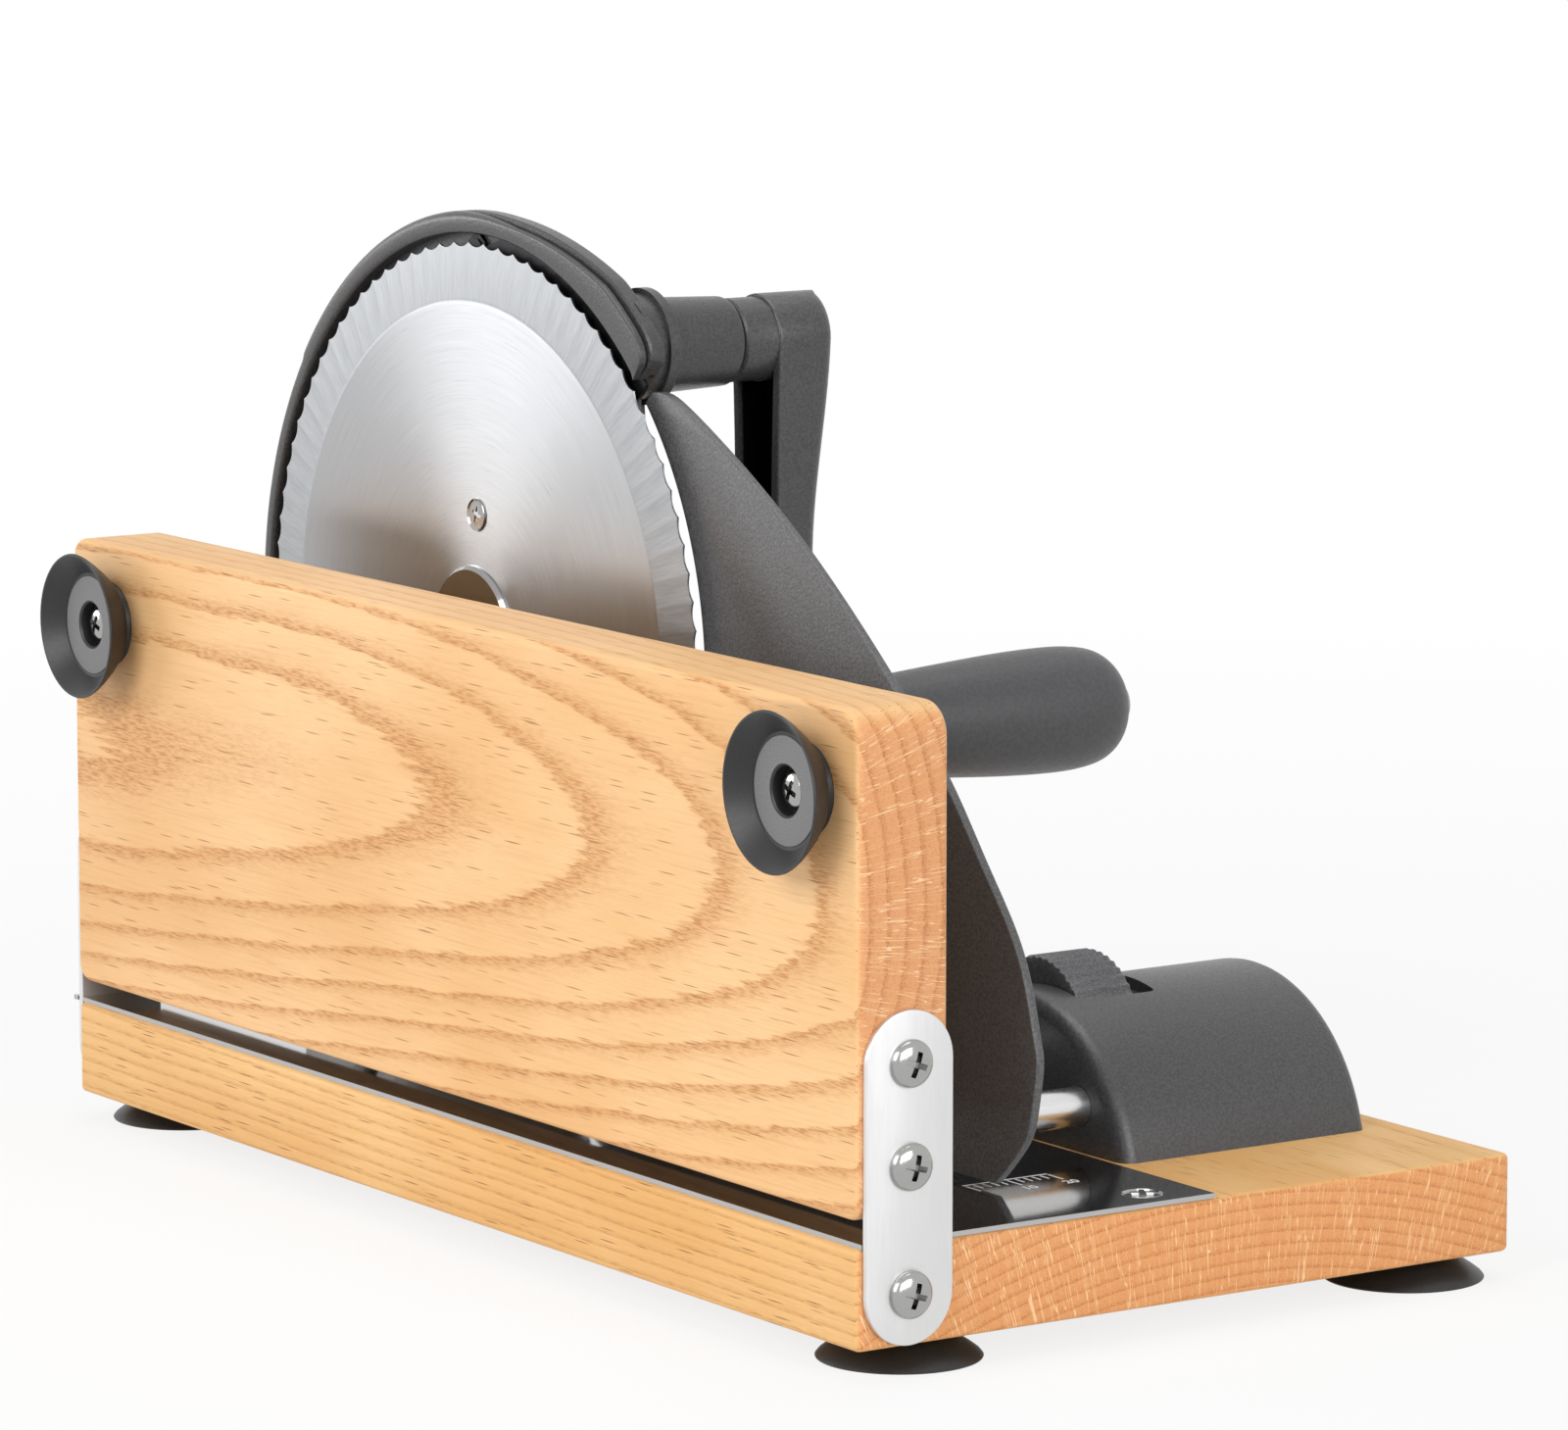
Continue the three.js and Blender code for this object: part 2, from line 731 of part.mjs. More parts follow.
// A shoulder bolt whose hexagonal head lies on the back of the gear case
function bladeAxle() {
  const shape = new THREE.Shape();
  const count = 6;
  for (let index = 0; index < count; index += 1) {
    const [y, z] = polar(axleHead.radius, (2 * Math.PI * index) / count);
    if (index === 0) shape.moveTo(y, z);
    else shape.lineTo(y, z);
  }
  shape.closePath();
  const head = slabX(shape, gearCase.back, gearCase.back + axleHead.thickness);
  const front = blade.back + runningGap;
  const shank = turnedX(rodProfile(hub.axle, front, gearCase.back + axleHead.thickness / 2), sides.medium);
  return join([head, shank]);
}

// Gears

function pitchRadius(teeth) {
  return (gear.module * teeth) / 2;
}

// One tooth is centred on the angle that is given
function gearShape(teeth, toothAngle) {
  const pitch = pitchRadius(teeth);
  const halfTooth = (Math.PI * gear.module) / 4 - gear.backlash / 2;
  const lean = Math.tan(gear.pressureAngle);
  const tip = pitch + gear.addendum;
  const root = pitch - gear.dedendum;
  const halfTip = (halfTooth - gear.addendum * lean) / tip;
  const halfRoot = (halfTooth + gear.dedendum * lean) / root;
  const shape = new THREE.Shape();
  for (let index = 0; index < teeth; index += 1) {
    const middle = toothAngle + (2 * Math.PI * index) / teeth;
    const corners = [
      polar(root, middle - halfRoot),
      polar(tip, middle - halfTip),
      polar(tip, middle + halfTip),
      polar(root, middle + halfRoot),
    ];
    for (const [step, [y, z]] of corners.entries()) {
      if (index === 0 && step === 0) shape.moveTo(y, z);
      else shape.lineTo(y, z);
    }
  }
  shape.closePath();
  return shape;
}

function gearTrain() {
  const crankToIdler = pitchRadius(gear.crankTeeth) + pitchRadius(gear.idlerTeeth);
  const bladeToIdler = pitchRadius(gear.bladeTeeth) + pitchRadius(gear.idlerTeeth);
  const squares = bladeToIdler ** 2 + crankDistance ** 2 - crankToIdler ** 2;
  const cosine = squares / (2 * bladeToIdler * crankDistance);
  const direction = crankDirection - Math.acos(cosine);
  const idler = {
    y: blade.y + bladeToIdler * Math.cos(direction),
    z: blade.z + bladeToIdler * Math.sin(direction),
  };
  const toCrank = Math.atan2(crankAxis.z - idler.z, crankAxis.y - idler.y);
  const toBlade = direction + Math.PI;
  const idlerPitch = (2 * Math.PI) / gear.idlerTeeth;
  const idlerTooth = toCrank + idlerPitch / 2;
  const gapsBetween = Math.round((toBlade - toCrank) / idlerPitch);
  const nearestGap = toCrank + gapsBetween * idlerPitch;
  const offset = nearestGap - toBlade;
  const bladeTooth = direction - (offset * gear.idlerTeeth) / gear.bladeTeeth;
  return { idler, idlerTooth, bladeTooth, crankTooth: toCrank + Math.PI };
}

const train = gearTrain();
const idlerGroup = groupAt(0, train.idler.y, train.idler.z);
const idlerPin = { radius: 4, head: 6, headHeight: 2 };

function gearSolid(teeth, toothAngle, bore) {
  const disc = slabX(gearShape(teeth, toothAngle), gearCase.gearFront, gearCase.gearBack);
  const hole = rodProfile(bore, gearCase.gearFront - overrun, gearCase.gearBack + overrun);
  return cut(disc, [turnedX(hole, sides.large)]);
}

// Blade guard with the gear case, the bearing tube, the pillar and the foot, in one casting.
// The lip round the blade is a piece of its own on its front.

function tipRadius(teeth) {
  return pitchRadius(teeth) + gear.addendum + gearCase.tipGap;
}

const caseCircles = [
  { y: blade.y, z: blade.z, radius: tipRadius(gear.bladeTeeth) },
  { y: train.idler.y, z: train.idler.z, radius: tipRadius(gear.idlerTeeth) },
  { y: crankAxis.y, z: crankAxis.z, radius: tipRadius(gear.crankTeeth) },
];

function caseSolid(grow, from, to) {
  return join(caseCircles.map((place) => {
    return slabX(circle(place.radius + grow, place.y, place.z), from, to, sides.arc);
  }));
}

function guardRim(from, to) {
  const shape = new THREE.Shape();
  const bulge = polar(guard.tipReach, guard.bulge);
  const tip = polar(guard.tipReach, guard.tip);
  const [startY, startZ] = polar(guard.inner, guard.start);
  shape.moveTo(startY, startZ);
  shape.absarc(0, 0, guard.outer, guard.start, guard.bulgeStart, false);
  const control = polar((guard.outer + guard.tipReach) / 2, (guard.bulgeStart + guard.bulge) / 2);
  shape.quadraticCurveTo(...control, ...bulge);
  shape.lineTo(...tip);
  const endMiddle = polar((guard.tipReach + guard.inner) / 2, guard.end);
  shape.quadraticCurveTo(...polar(guard.tipReach, guard.end), ...endMiddle);
  shape.lineTo(...polar(guard.inner, guard.end));
  shape.absarc(0, 0, guard.inner, guard.end, guard.start, true);
  return slabX(shape, from, to, sides.arc).translate(0, blade.y, blade.z);
}

// The web's edge towards the user, as shares of the guard's inner radius
const webEdgeShares = [
  [-0.62, 0.45],
  [-0.45, 0.2],
  [-0.36, -0.12],
  [-0.1, -0.4],
  [0.3, -0.58],
];

function guardWeb() {
  const shape = new THREE.Shape();
  const bottom = plateTop - blade.z;
  shape.moveTo(pillar.near - blade.y, bottom);
  shape.lineTo(pillar.far - blade.y, bottom);
  shape.lineTo(...polar(guard.webOuter, 0));
  shape.absarc(0, 0, guard.webOuter, 0, guard.end, false);
  shape.lineTo(...polar(guard.webTip, guard.end));
  const edge = webEdgeShares.map(([y, z]) => new THREE.Vector2(y * guard.inner, z * guard.inner));
  smoothTo(shape, edge, sides.medium);
  shape.closePath();
  return slabX(shape, gearCase.front, guard.webBack, sides.arc).translate(0, blade.y, blade.z);
}

function guardPillar() {
  const shape = new THREE.Shape();
  shape.moveTo(pillar.near, plateTop);
  shape.lineTo(pillar.far, plateTop);
  shape.lineTo(pillar.far, pillar.topFar);
  shape.lineTo(pillar.near, pillar.top);
  shape.closePath();
  return slabX(shape, pillar.front, pillar.back);
}

function guardFoot() {
  const radii = [foot.corner, foot.corner, foot.corner, foot.corner];
  const shape = roundedRectangle([foot.front, foot.near], [foot.back, foot.far], radii);
  return slabZ(shape, plateTop, footTop);
}

function bearingTube() {
  return turnedX([
    [0, gearCase.floor],
    [tube.root, gearCase.floor],
    [tube.end, tube.mouth - tube.round],
    [tube.end - tube.round, tube.mouth],
    [0, tube.mouth],
  ], sides.medium).translate(0, crankAxis.y, crankAxis.z);
}

function bladeGuard() {
  const casting = join([
    guardRim(gearCase.front, guard.webBack),
    guardWeb(),
    guardPillar(),
    guardFoot(),
    caseSolid(gearCase.wall, gearCase.front, gearCase.back),
    bearingTube(),
  ]);
  const tools = [caseSolid(0, gearCase.front - overrun, gearCase.floor)];
  const pilot = rodProfile(hub.axle + runningGap, gearCase.floor - overrun, gearCase.back + overrun);
  tools.push(turnedX(pilot, sides.medium).translate(0, blade.y, blade.z));
  const pinRadius = idlerPin.radius + runningGap;
  const pinHole = rodProfile(pinRadius, gearCase.floor - overrun, gearCase.back + overrun);
  tools.push(turnedX(pinHole, sides.medium).translate(0, train.idler.y, train.idler.z));
  tools.push(turnedX([
    [0, gearCase.floor - overrun],
    [bush.outer + runningGap, gearCase.floor - overrun],
    [bush.outer + runningGap, tube.mouth + overrun],
    [0, tube.mouth + overrun],
  ], sides.medium).translate(0, crankAxis.y, crankAxis.z));
  for (const [x, y] of footScrewPlaces) {
    tools.push(put(screwHole(footScrew), "down", [x, y, footTop]));
  }
  for (const [y, z] of coverRivetPlaces()) {
    const hole = rodProfile(cover.rivet + runningGap, gearCase.front - overrun, guard.webBack + overrun);
    tools.push(turnedX(hole, sides.screw).translate(0, y, z));
  }
  return cut(casting, tools);
}

// Sheet cover over the gears, and its rivets

function coverRivetPlaces() {
  const idler = caseCircles[1];
  return cover.earAngles.map((degrees) => {
    const reach = idler.radius + gearCase.wall + cover.ear / 2;
    const [y, z] = polar(reach, THREE.MathUtils.degToRad(degrees));
    return [idler.y + y, idler.z + z];
  });
}

function gearCover() {
  const ears = coverRivetPlaces().map(([y, z]) => {
    return slabX(circle(cover.ear, y, z), cover.front, cover.back);
  });
  const sheet = join([caseSolid(gearCase.wall + cover.lap, cover.front, cover.back), ...ears]);
  const reach = circle(guard.inner - touchGap, blade.y, blade.z);
  const trimmed = common(sheet, slabX(reach, cover.front - overrun, cover.back + overrun, sides.blade));
  const hubHole = rodProfile(cover.hubHole, cover.front - overrun, cover.back + overrun);
  const tools = [turnedX(hubHole, sides.large).translate(0, blade.y, blade.z)];
  for (const [y, z] of coverRivetPlaces()) {
    const hole = rodProfile(cover.rivet + runningGap, cover.front - overrun, cover.back + overrun);
    tools.push(turnedX(hole, sides.screw).translate(0, y, z));
  }
  return cut(trimmed, tools);
}

function coverRivet([y, z]) {
  const front = cover.front - cover.rivetDome;
  return turnedX([
    [0, front],
    [cover.rivetHead, front],
    [cover.rivetHead, cover.front],
    [cover.rivet, cover.front],
    [cover.rivet, guard.webBack],
    [0, guard.webBack],
  ], sides.screw).translate(0, y, z);
}

// Idler pin, crank shaft and crank bush

function idlerPinSolid() {
  const radius = idlerPin.radius - runningGap / 2;
  return turnedX([
    [0, gearCase.gearFront],
    [radius, gearCase.gearFront],
    [radius, gearCase.back],
    [idlerPin.head, gearCase.back],
    [idlerPin.head, gearCase.back + idlerPin.headHeight],
    [0, gearCase.back + idlerPin.headHeight],
  ], sides.medium);
}

const crankShaftEnd = crank.topBack - crank.floor;

// The shaft has a threaded hole in its end for the crank's screw
function crankShaft() {
  const rod = turnedX(rodProfile(shaft.radius, gearCase.gearFront, crankShaftEnd), sides.medium);
  const hole = rodProfile(crankScrew.shank + runningGap, crank.topBack - crankScrew.reach, crank.topBack);
  return cut(rod, [turnedX(hole, sides.screw)]);
}

function crankBush() {
  const front = gearCase.floor + runningGap;
  return turnedX(sleeveProfile(shaft.radius + runningGap / 2, bush.outer, front, tube.mouth), sides.medium);
}

// Crank: a hub and a hollow arm that is open towards the blade

function crankOutline(inset) {
  const shape = new THREE.Shape();
  const top = crank.topRadius - inset;
  const end = crank.endRadius - inset;
  const waist = crank.waist - inset;
  const low = -crank.radius;
  shape.moveTo(-top, 0);
  shape.absarc(0, 0, top, Math.PI, 0, true);
  shape.quadraticCurveTo(waist, low / 4, waist, low / 2);
  shape.quadraticCurveTo(waist, (3 * low) / 4, end, low);
  shape.absarc(0, low, end, 0, Math.PI, true);
  shape.quadraticCurveTo(-waist, (3 * low) / 4, -waist, low / 2);
  shape.quadraticCurveTo(-waist, low / 4, -top, 0);
  return shape;
}

function crankArm() {
  const arm = slabX(crankOutline(0), crank.armFront, crank.armBack, sides.curve);
  const head = turnedX([
    [0, crank.front],
    [crank.hub, crank.front],
    [crank.hub, crank.topBack - crank.wall],
    [crank.hub - crank.wall, crank.topBack],
    [0, crank.topBack],
  ], sides.medium);
  const floor = crank.armBack - crank.floor;
  const recess = slabX(crankOutline(crank.wall), crank.armFront - overrun, floor, sides.curve);
  const seat = turnedX(rodProfile(crank.hub - touchGap, crank.front, crank.armBack), sides.medium);
  const end = turnedX(rodProfile(crank.endBoss, crank.front, crank.armBack), sides.medium);
  const pocket = cut(recess, [seat, end.translate(0, 0, -crank.radius)]);
  const holeEnd = crankShaftEnd + runningGap;
  const shaftHole = rodProfile(shaft.radius + runningGap, crank.front - overrun, holeEnd);
  const screwTunnel = rodProfile(crankScrew.shank + runningGap, crank.front, crank.topBack + overrun);
  const gripHole = rodProfile(rivet.shank + runningGap, crank.armFront - overrun, crank.armBack + overrun);
  return cut(join([arm, head]), [
    pocket,
    turnedX(shaftHole, sides.medium),
    turnedX(screwTunnel, sides.medium),
    turnedX(gripHole, sides.medium).translate(0, 0, -crank.radius),
  ]);
}

function crankScrewSolid() {
  const sizes = { ...panScrew, ...crankScrew, length: crankScrew.reach - runningGap };
  return put(panHeadScrew(sizes), "left", [crank.topBack, 0, 0]);
}

// The grip's profile, as shares of its largest radius and its length
const gripShares = [
  [0.7, 0],
  [0.76, 0.15],
  [0.83, 0.3],
  [0.9, 0.45],
  [0.97, 0.62],
  [1, 0.76],
  [0.98, 0.86],
  [0.87, 0.94],
  [0.66, 0.985],
  [0.44, 1],
];

function crankGrip() {
  const start = crank.armBack + touchGap;
  const outline = gripShares.map(([radius, along]) => [radius * grip.radius, start + along * grip.length]);
  const bore = rivet.shank + runningGap;
  const profile = [[bore, start], ...outline, [bore, start + grip.length], [bore, start]];
  return turnedX(profile, sides.medium);
}

function gripRivet() {
  const end = crank.armBack + touchGap + grip.length + runningGap;
  const top = end + rivet.headHeight;
  return turnedX([
    [0, crank.armFront - rivet.flange],
    [rivet.head, crank.armFront - rivet.flange],
    [rivet.head, crank.armFront],
    [rivet.shank, crank.armFront],
    [rivet.shank, end],
    [rivet.head, end],
    [rivet.head, top - rivet.edge],
    [rivet.head - rivet.edge, top],
    [0, top],
  ], sides.medium);
}

// Stop plate

function stopPlateSolid() {
  const length = stopPlate.tip - stopPlate.near;
  const height = stopPlate.top - stopPlate.bottom;
  const outer = outerEdgeShares.map(([y, z]) => {
    return new THREE.Vector2(stopPlate.near + y * length, stopPlate.bottom + z * height);
  });
  const shape = new THREE.Shape();
  const innerAngle = Math.atan2(stopPlate.top - blade.z, stopPlate.tip - blade.y);
  const rearAngle = -Math.PI + Math.acos((blade.y - stopPlate.rear) / stopPlate.inner);
  shape.moveTo(stopPlate.rear, stopPlate.bottom);
  shape.lineTo(outer[0].x, outer[0].y);
  smoothTo(shape, outer.slice(1), sides.large);
  const [tipY, tipZ] = polar(stopPlate.inner, innerAngle);
  shape.lineTo(blade.y + tipY, blade.z + tipZ);
  shape.absarc(blade.y, blade.z, stopPlate.inner, innerAngle, rearAngle + 2 * Math.PI, false);
  shape.closePath();
  return slabX(shape, stopPlate.front, stopPlate.back, sides.arc);
}

// Carrier behind the stop plate, with the guide rods and the lead screw

const guidePlaces = [
  [guide.y - guide.spread / 2, guide.z],
  [guide.y + guide.spread / 2, guide.z],
];
const guideReach = guide.radius + carrier.wall;

// Holes along x for the two rods and the lead screw
function rodHoles(from, to) {
  const rods = guidePlaces.map(([y, z]) => {
    return turnedX(rodProfile(guide.radius + runningGap, from, to), sides.small).translate(0, y, z);
  });
  const thread = turnedX(rodProfile(screw.radius + runningGap, from, to), sides.small);
  return [...rods, thread.translate(0, screw.y, screw.z)];
}

function stopCarrier() {
  const low = [guidePlaces[0][0] - guideReach, guide.z - guideReach + carrier.pad];
  const high = [guidePlaces[1][0] + guideReach, screw.z + guideReach];
  const corner = guideReach / 2;
  const shape = roundedRectangle(low, high, [corner, corner, guideReach, guideReach]);
  const plate = slabX(shape, stopPlate.back, stopPlate.back + carrier.thickness);
  return cut(plate, rodHoles(carrier.seat, stopPlate.back + carrier.thickness + overrun));
}

function guideRod([y, z]) {
  const from = carrier.seat + runningGap;
  return turnedX(rodProfile(guide.radius, from, from + guide.length), sides.small).translate(0, y, z);
}

function leadScrew() {
  const from = carrier.seat + runningGap;
  return turnedX(rodProfile(screw.radius, from, from + screw.length), sides.small);
}

// Thumbwheel with ridges along its axis, and a boss at each side that keeps it in its place

function thumbwheel() {
  const shape = new THREE.Shape();
  for (let index = 0; index < 2 * wheel.ridges; index += 1) {
    const angle = (Math.PI * index) / wheel.ridges;
    const radius = index % 2 === 0 ? wheel.radius : wheel.radius - wheel.ridgeDepth;
    const [y, z] = polar(radius, angle);
    if (index === 0) shape.moveTo(y, z);
    else shape.lineTo(y, z);
  }
  shape.closePath();
  const body = slabX(shape, wheel.front, wheel.back);
  const bossFront = barrel.front + barrel.wall + touchGap;
  const bossBack = wheel.back + wheel.bossLength;
  const boss = turnedX(rodProfile(wheel.boss, bossFront, bossBack), sides.medium);
  const bore = rodProfile(screw.radius + runningGap, bossFront - overrun, bossBack + overrun);
  return cut(join([body, boss]), [turnedX(bore, sides.medium)]);
}

// Adjuster housing: a segment of a barrel with closed ends and a slot for the wheel

function barrelShape(inset) {
  const radius = barrel.radius - inset;
  const rise = barrel.bottom - barrel.z;
  const half = Math.sqrt(radius ** 2 - rise ** 2);
  const angle = Math.asin(rise / radius);
  const shape = new THREE.Shape();
  shape.moveTo(barrel.y - half, barrel.bottom);
  shape.lineTo(barrel.y + half, barrel.bottom);
  shape.absarc(barrel.y, barrel.z, radius, angle, Math.PI - angle, false);
  shape.closePath();
  return shape;
}

function housingBosses() {
  const reach = housingScrew.boss;
  return join(housingScrewPlaces.map(([x, y]) => {
    return block([x - reach, y - reach, barrel.bottom], [x + reach, y + reach, housingBossTop]);
  }));
}

function adjusterHousing() {
  const outside = slabX(barrelShape(0), barrel.front, barrel.back, sides.arc);
  const wall = barrel.wall;
  const room = slabX(barrelShape(wall), barrel.front + wall, barrel.back - wall, sides.arc);
  const below = room.clone().translate(0, 0, -overrun);
  const shell = join([cut(outside, [room, below]), common(housingBosses(), outside)]);
  const low = [slot.front, screw.y - slot.near, screw.z - screw.radius];
  const high = [slot.back, screw.y + slot.far, barrel.z + barrel.radius + overrun];
  const tools = [block(low, high), ...rodHoles(barrel.front - overrun, barrel.front + wall + overrun)];
  for (const [x, y] of housingScrewPlaces) {
    tools.push(put(screwHole(housingBolt), "up", [x, y, housingScrew.recess]));
  }
  return cut(shell, tools);
}

// Bracket inside the housing that holds the wheel in place and guides the rods

function guideBracket() {
  const low = guidePlaces[0][0] - guideReach;
  const high = guidePlaces[1][0] + guideReach;
  const back = bracket.front + bracket.thickness;
  const room = slabX(barrelShape(barrel.wall + touchGap), bracket.front, back, sides.arc);
  const wall = common(room, block(
    [bracket.front - overrun, low, barrel.bottom],
    [back + overrun, high, barrel.z + barrel.radius],
  ));
  const flange = block(
    [bracket.front, low, barrel.bottom],
    [back + bracket.flange, high, barrel.bottom + bracket.flangeThickness],
  );
  const tools = rodHoles(bracket.front - overrun, back + overrun);
  tools.push(put(screwHole(boltScrew), "down", [...bracketScrewPlace, bracketSeat]));
  return cut(join([wall, flange]), tools);
}

// Assembly

add("base_board", baseBoard(), "oak");
add("slide_plate", slidePlateSolid(), "polished");
for (const [index, place] of plateScrewPlaces.entries()) {
  const name = ends[index].name;
  add(`slide_plate_screw_${name}`, put(countersunkScrew(), "down", place), "steel");
}

add("folding_board", foldingBoard(), "oak");
for (const end of ends) {
  add(`hinge_strap_${end.name}`, hingeStrap(end), "brushed");
  for (const [index, z] of strapScrewHeights.entries()) {
    add(`strap_screw_${end.name}_${index + 1}`, strapScrew(end, z), "steel");
  }
  const running = end.sign * runningGap / 2;
  add(`pivot_screw_${end.name}`, strapScrew(end, pivot.z).translate(0, -running, 0), "steel");
}

for (const [index, [x, y, z]] of cupPlaces.entries()) {
  const name = ends[index].name;
  add(`board_cup_${name}`, put(suctionCup(cup), "right", [x, y, z]), "rubber");
  const screwAt = [x - cup.seat, y, z];
  add(`board_cup_screw_${name}`, put(crossHeadScrew(cupScrew), "right", screwAt), "steel");
}

for (const [index, [x, y]] of footPlaces.entries()) {
  add(`foot_cup_${index + 1}`, put(suctionCup(footCup), "up", [x, y, 0]), "rubber");
  add(`foot_cup_screw_${index + 1}`, put(panHeadScrew(cupScrew), "up", [x, y, -cup.seat]), "steel");
}

add("blade_guard", bladeGuard(), "black");
add("guard_lip", guardRim(guard.front, gearCase.front), "black");
for (const [index, [x, y]] of footScrewPlaces.entries()) {
  const screwAt = [x, y, footTop];
  add(`guard_foot_screw_${index + 1}`, put(panHeadScrew(footScrew), "down", screwAt), "steel");
}
add("gear_cover", gearCover(), "steel");
for (const [index, place] of coverRivetPlaces().entries()) {
  add(`gear_cover_rivet_${index + 1}`, coverRivet(place), "steel");
}

add("blade", bladeDisc(), "brushed", bladeGroup);
for (const [index, place] of bladeScrewPlaces().entries()) {
  add(`blade_screw_${index + 1}`, bladeScrewSolid(place), "steel", bladeGroup);
}
add("blade_hub", bladeHub(), "steel", bladeGroup);
add("hub_cap", hubCap(), "polished", bladeGroup);
const bladeGear = gearSolid(gear.bladeTeeth, train.bladeTooth, hub.sleeve + runningGap);
add("blade_gear", bladeGear, "nylon", bladeGroup);
add("blade_axle", bladeAxle(), "steel", bladeGroup);

const idlerGear = gearSolid(gear.idlerTeeth, train.idlerTooth, idlerPin.radius);
add("idler_gear", idlerGear, "nylon", idlerGroup);
add("idler_pin", idlerPinSolid(), "steel", idlerGroup);

const crankGear = gearSolid(gear.crankTeeth, train.crankTooth, shaft.radius + runningGap);
add("crank_gear", crankGear, "steel", crankGroup);
add("crank_shaft", crankShaft(), "steel", crankGroup);
add("crank_bush", crankBush(), "bronze", crankGroup);
add("crank_arm", crankArm(), "black", crankGroup);
add("crank_screw", crankScrewSolid(), "steel", crankGroup);
add("crank_grip", crankGrip(), "black", gripGroup);
add("grip_rivet", gripRivet(), "steel", gripGroup);

add("stop_plate", stopPlateSolid(), "black");
add("stop_carrier", stopCarrier(), "black");
for (const [index, place] of guidePlaces.entries()) {
  add(`guide_rod_${index + 1}`, guideRod(place), "steel");
}
add("lead_screw", leadScrew(), "steel", wheelGroup);
add("thumbwheel", thumbwheel(), "black", wheelGroup);
add("adjuster_housing", adjusterHousing(), "black");
for (const [index, [x, y]] of housingScrewPlaces.entries()) {
  const screwAt = [x, y, housingScrew.recess];
  add(`housing_screw_${index + 1}`, put(panHeadScrew(housingBolt), "up", screwAt), "steel");
}
add("guide_bracket", guideBracket(), "steel");
const bracketScrewAt = [...bracketScrewPlace, bracketSeat];
add("bracket_screw", put(panHeadScrew(boltScrew), "down", bracketScrewAt), "steel");

export default slicer;
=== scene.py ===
"""The looks of a hand-cranked bread slicer on an oak base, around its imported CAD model.

Sizes are millimetres, measured as in the photograph's frame: x runs across the base from the
folding board's outer face, y runs along it from the user's end, and z runs up from its underside.
Every piece is placed from the base board's lowest corner.
"""

import math
from types import SimpleNamespace

import bmesh
import bpy
from mathutils import Matrix, Vector


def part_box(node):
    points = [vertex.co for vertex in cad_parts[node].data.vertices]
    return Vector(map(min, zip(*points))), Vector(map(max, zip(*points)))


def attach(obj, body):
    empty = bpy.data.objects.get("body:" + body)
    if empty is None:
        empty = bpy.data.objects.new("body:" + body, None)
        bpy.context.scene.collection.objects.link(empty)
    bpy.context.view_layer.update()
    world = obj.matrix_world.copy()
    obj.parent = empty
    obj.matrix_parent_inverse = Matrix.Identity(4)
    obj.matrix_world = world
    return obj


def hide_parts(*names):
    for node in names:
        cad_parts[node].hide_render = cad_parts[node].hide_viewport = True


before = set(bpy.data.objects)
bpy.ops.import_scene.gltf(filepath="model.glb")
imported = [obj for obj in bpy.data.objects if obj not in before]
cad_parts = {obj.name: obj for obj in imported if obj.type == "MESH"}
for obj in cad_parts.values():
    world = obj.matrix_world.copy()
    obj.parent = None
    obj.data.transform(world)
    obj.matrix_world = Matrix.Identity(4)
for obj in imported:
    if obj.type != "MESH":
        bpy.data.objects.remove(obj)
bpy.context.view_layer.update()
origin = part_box("base_board")[0]
origin.z = 0
millimetre = 0.001

# Sizes

class Sizes(SimpleNamespace):
    """Named lengths of one part of the slicer, in millimetres, with a few counts and shares."""

    def but(self, **changed):
        return Sizes(**{**vars(self), **changed})


base = Sizes(width=160, length=304, top=20, right_corner=2.5, left_corner=1.5, ease=1.1)
plate = Sizes(top=21, screw_x=73, screw_inset=7.7)
marks = Sizes(
    zero=48, step=2, count=11, long_every=5, y=33, width=0.5, gap=0.6, long=5, short=3, depth=0.15,
    proud=0.03, clear=0.02, text_y=24.6, text_size=3.4,
)

board = Sizes(
    thickness=21, bottom=25.2, top=123.7, end_gap=0.2, ease=1.6, near_corner=6.5, far_corner=4,
)
pivot = Sizes(x=11, z=10.5)
strap = Sizes(half_width=10, thickness=1.5, top=65.7, round=0.25, screws=[55.4, 35.4])

pan_head = Sizes(
    radius=4.7, height=2.4, shank=2, length=6, cross_reach=2.7, cross=1.2, deep=2.1, edge=0.15, point=1,
)
small_head = pan_head.but(radius=3.9, height=2, cross_reach=2.2, cross=1.1, deep=1.8)
flat_head = Sizes(
    radius=4.2, dish=0.35, shank=1.8, length=5, rim=0.5, proud=0.06, cross_reach=2.2, cross=1.1, deep=1.5,
    edge=0.1, point=1, cone=1.6,
)
blade_head = flat_head.but(
    radius=3.5, length=2.6, cross_reach=1.8, cross=1, proud=0.45, dish=0.3, deep=1.3,
)

cup = Sizes(
    rim=15.8, back=9, height=9, stem=1.2, lip=0.5, floor=11.2, floor_deep=4, well=4.8, seat=2.2, bore=2.2,
    inset=17,
)
foot_cup = cup.but(
    rim=16.4, height=6, floor_deep=2.2, left=20.5, right_inset=15.5, near=15.5, far_inset=12,
)

blade = Sizes(
    y=211.4, z=108.2, radius=85, front=46.2, back=47.6, teeth=90, tooth=1.1, bevel=12.5, bevel_deep=0.92,
    tooth_points=12, soft=0.7, burr=0.15, burr_deep=0.12, land=0.05, screw_sink=0.02, hub_gap=0.01,
)
blade_screws = Sizes(circle=27.2, count=3, turn=0.05)
hub = Sizes(cap=16, cap_front=44.9, chamfer=0.8)

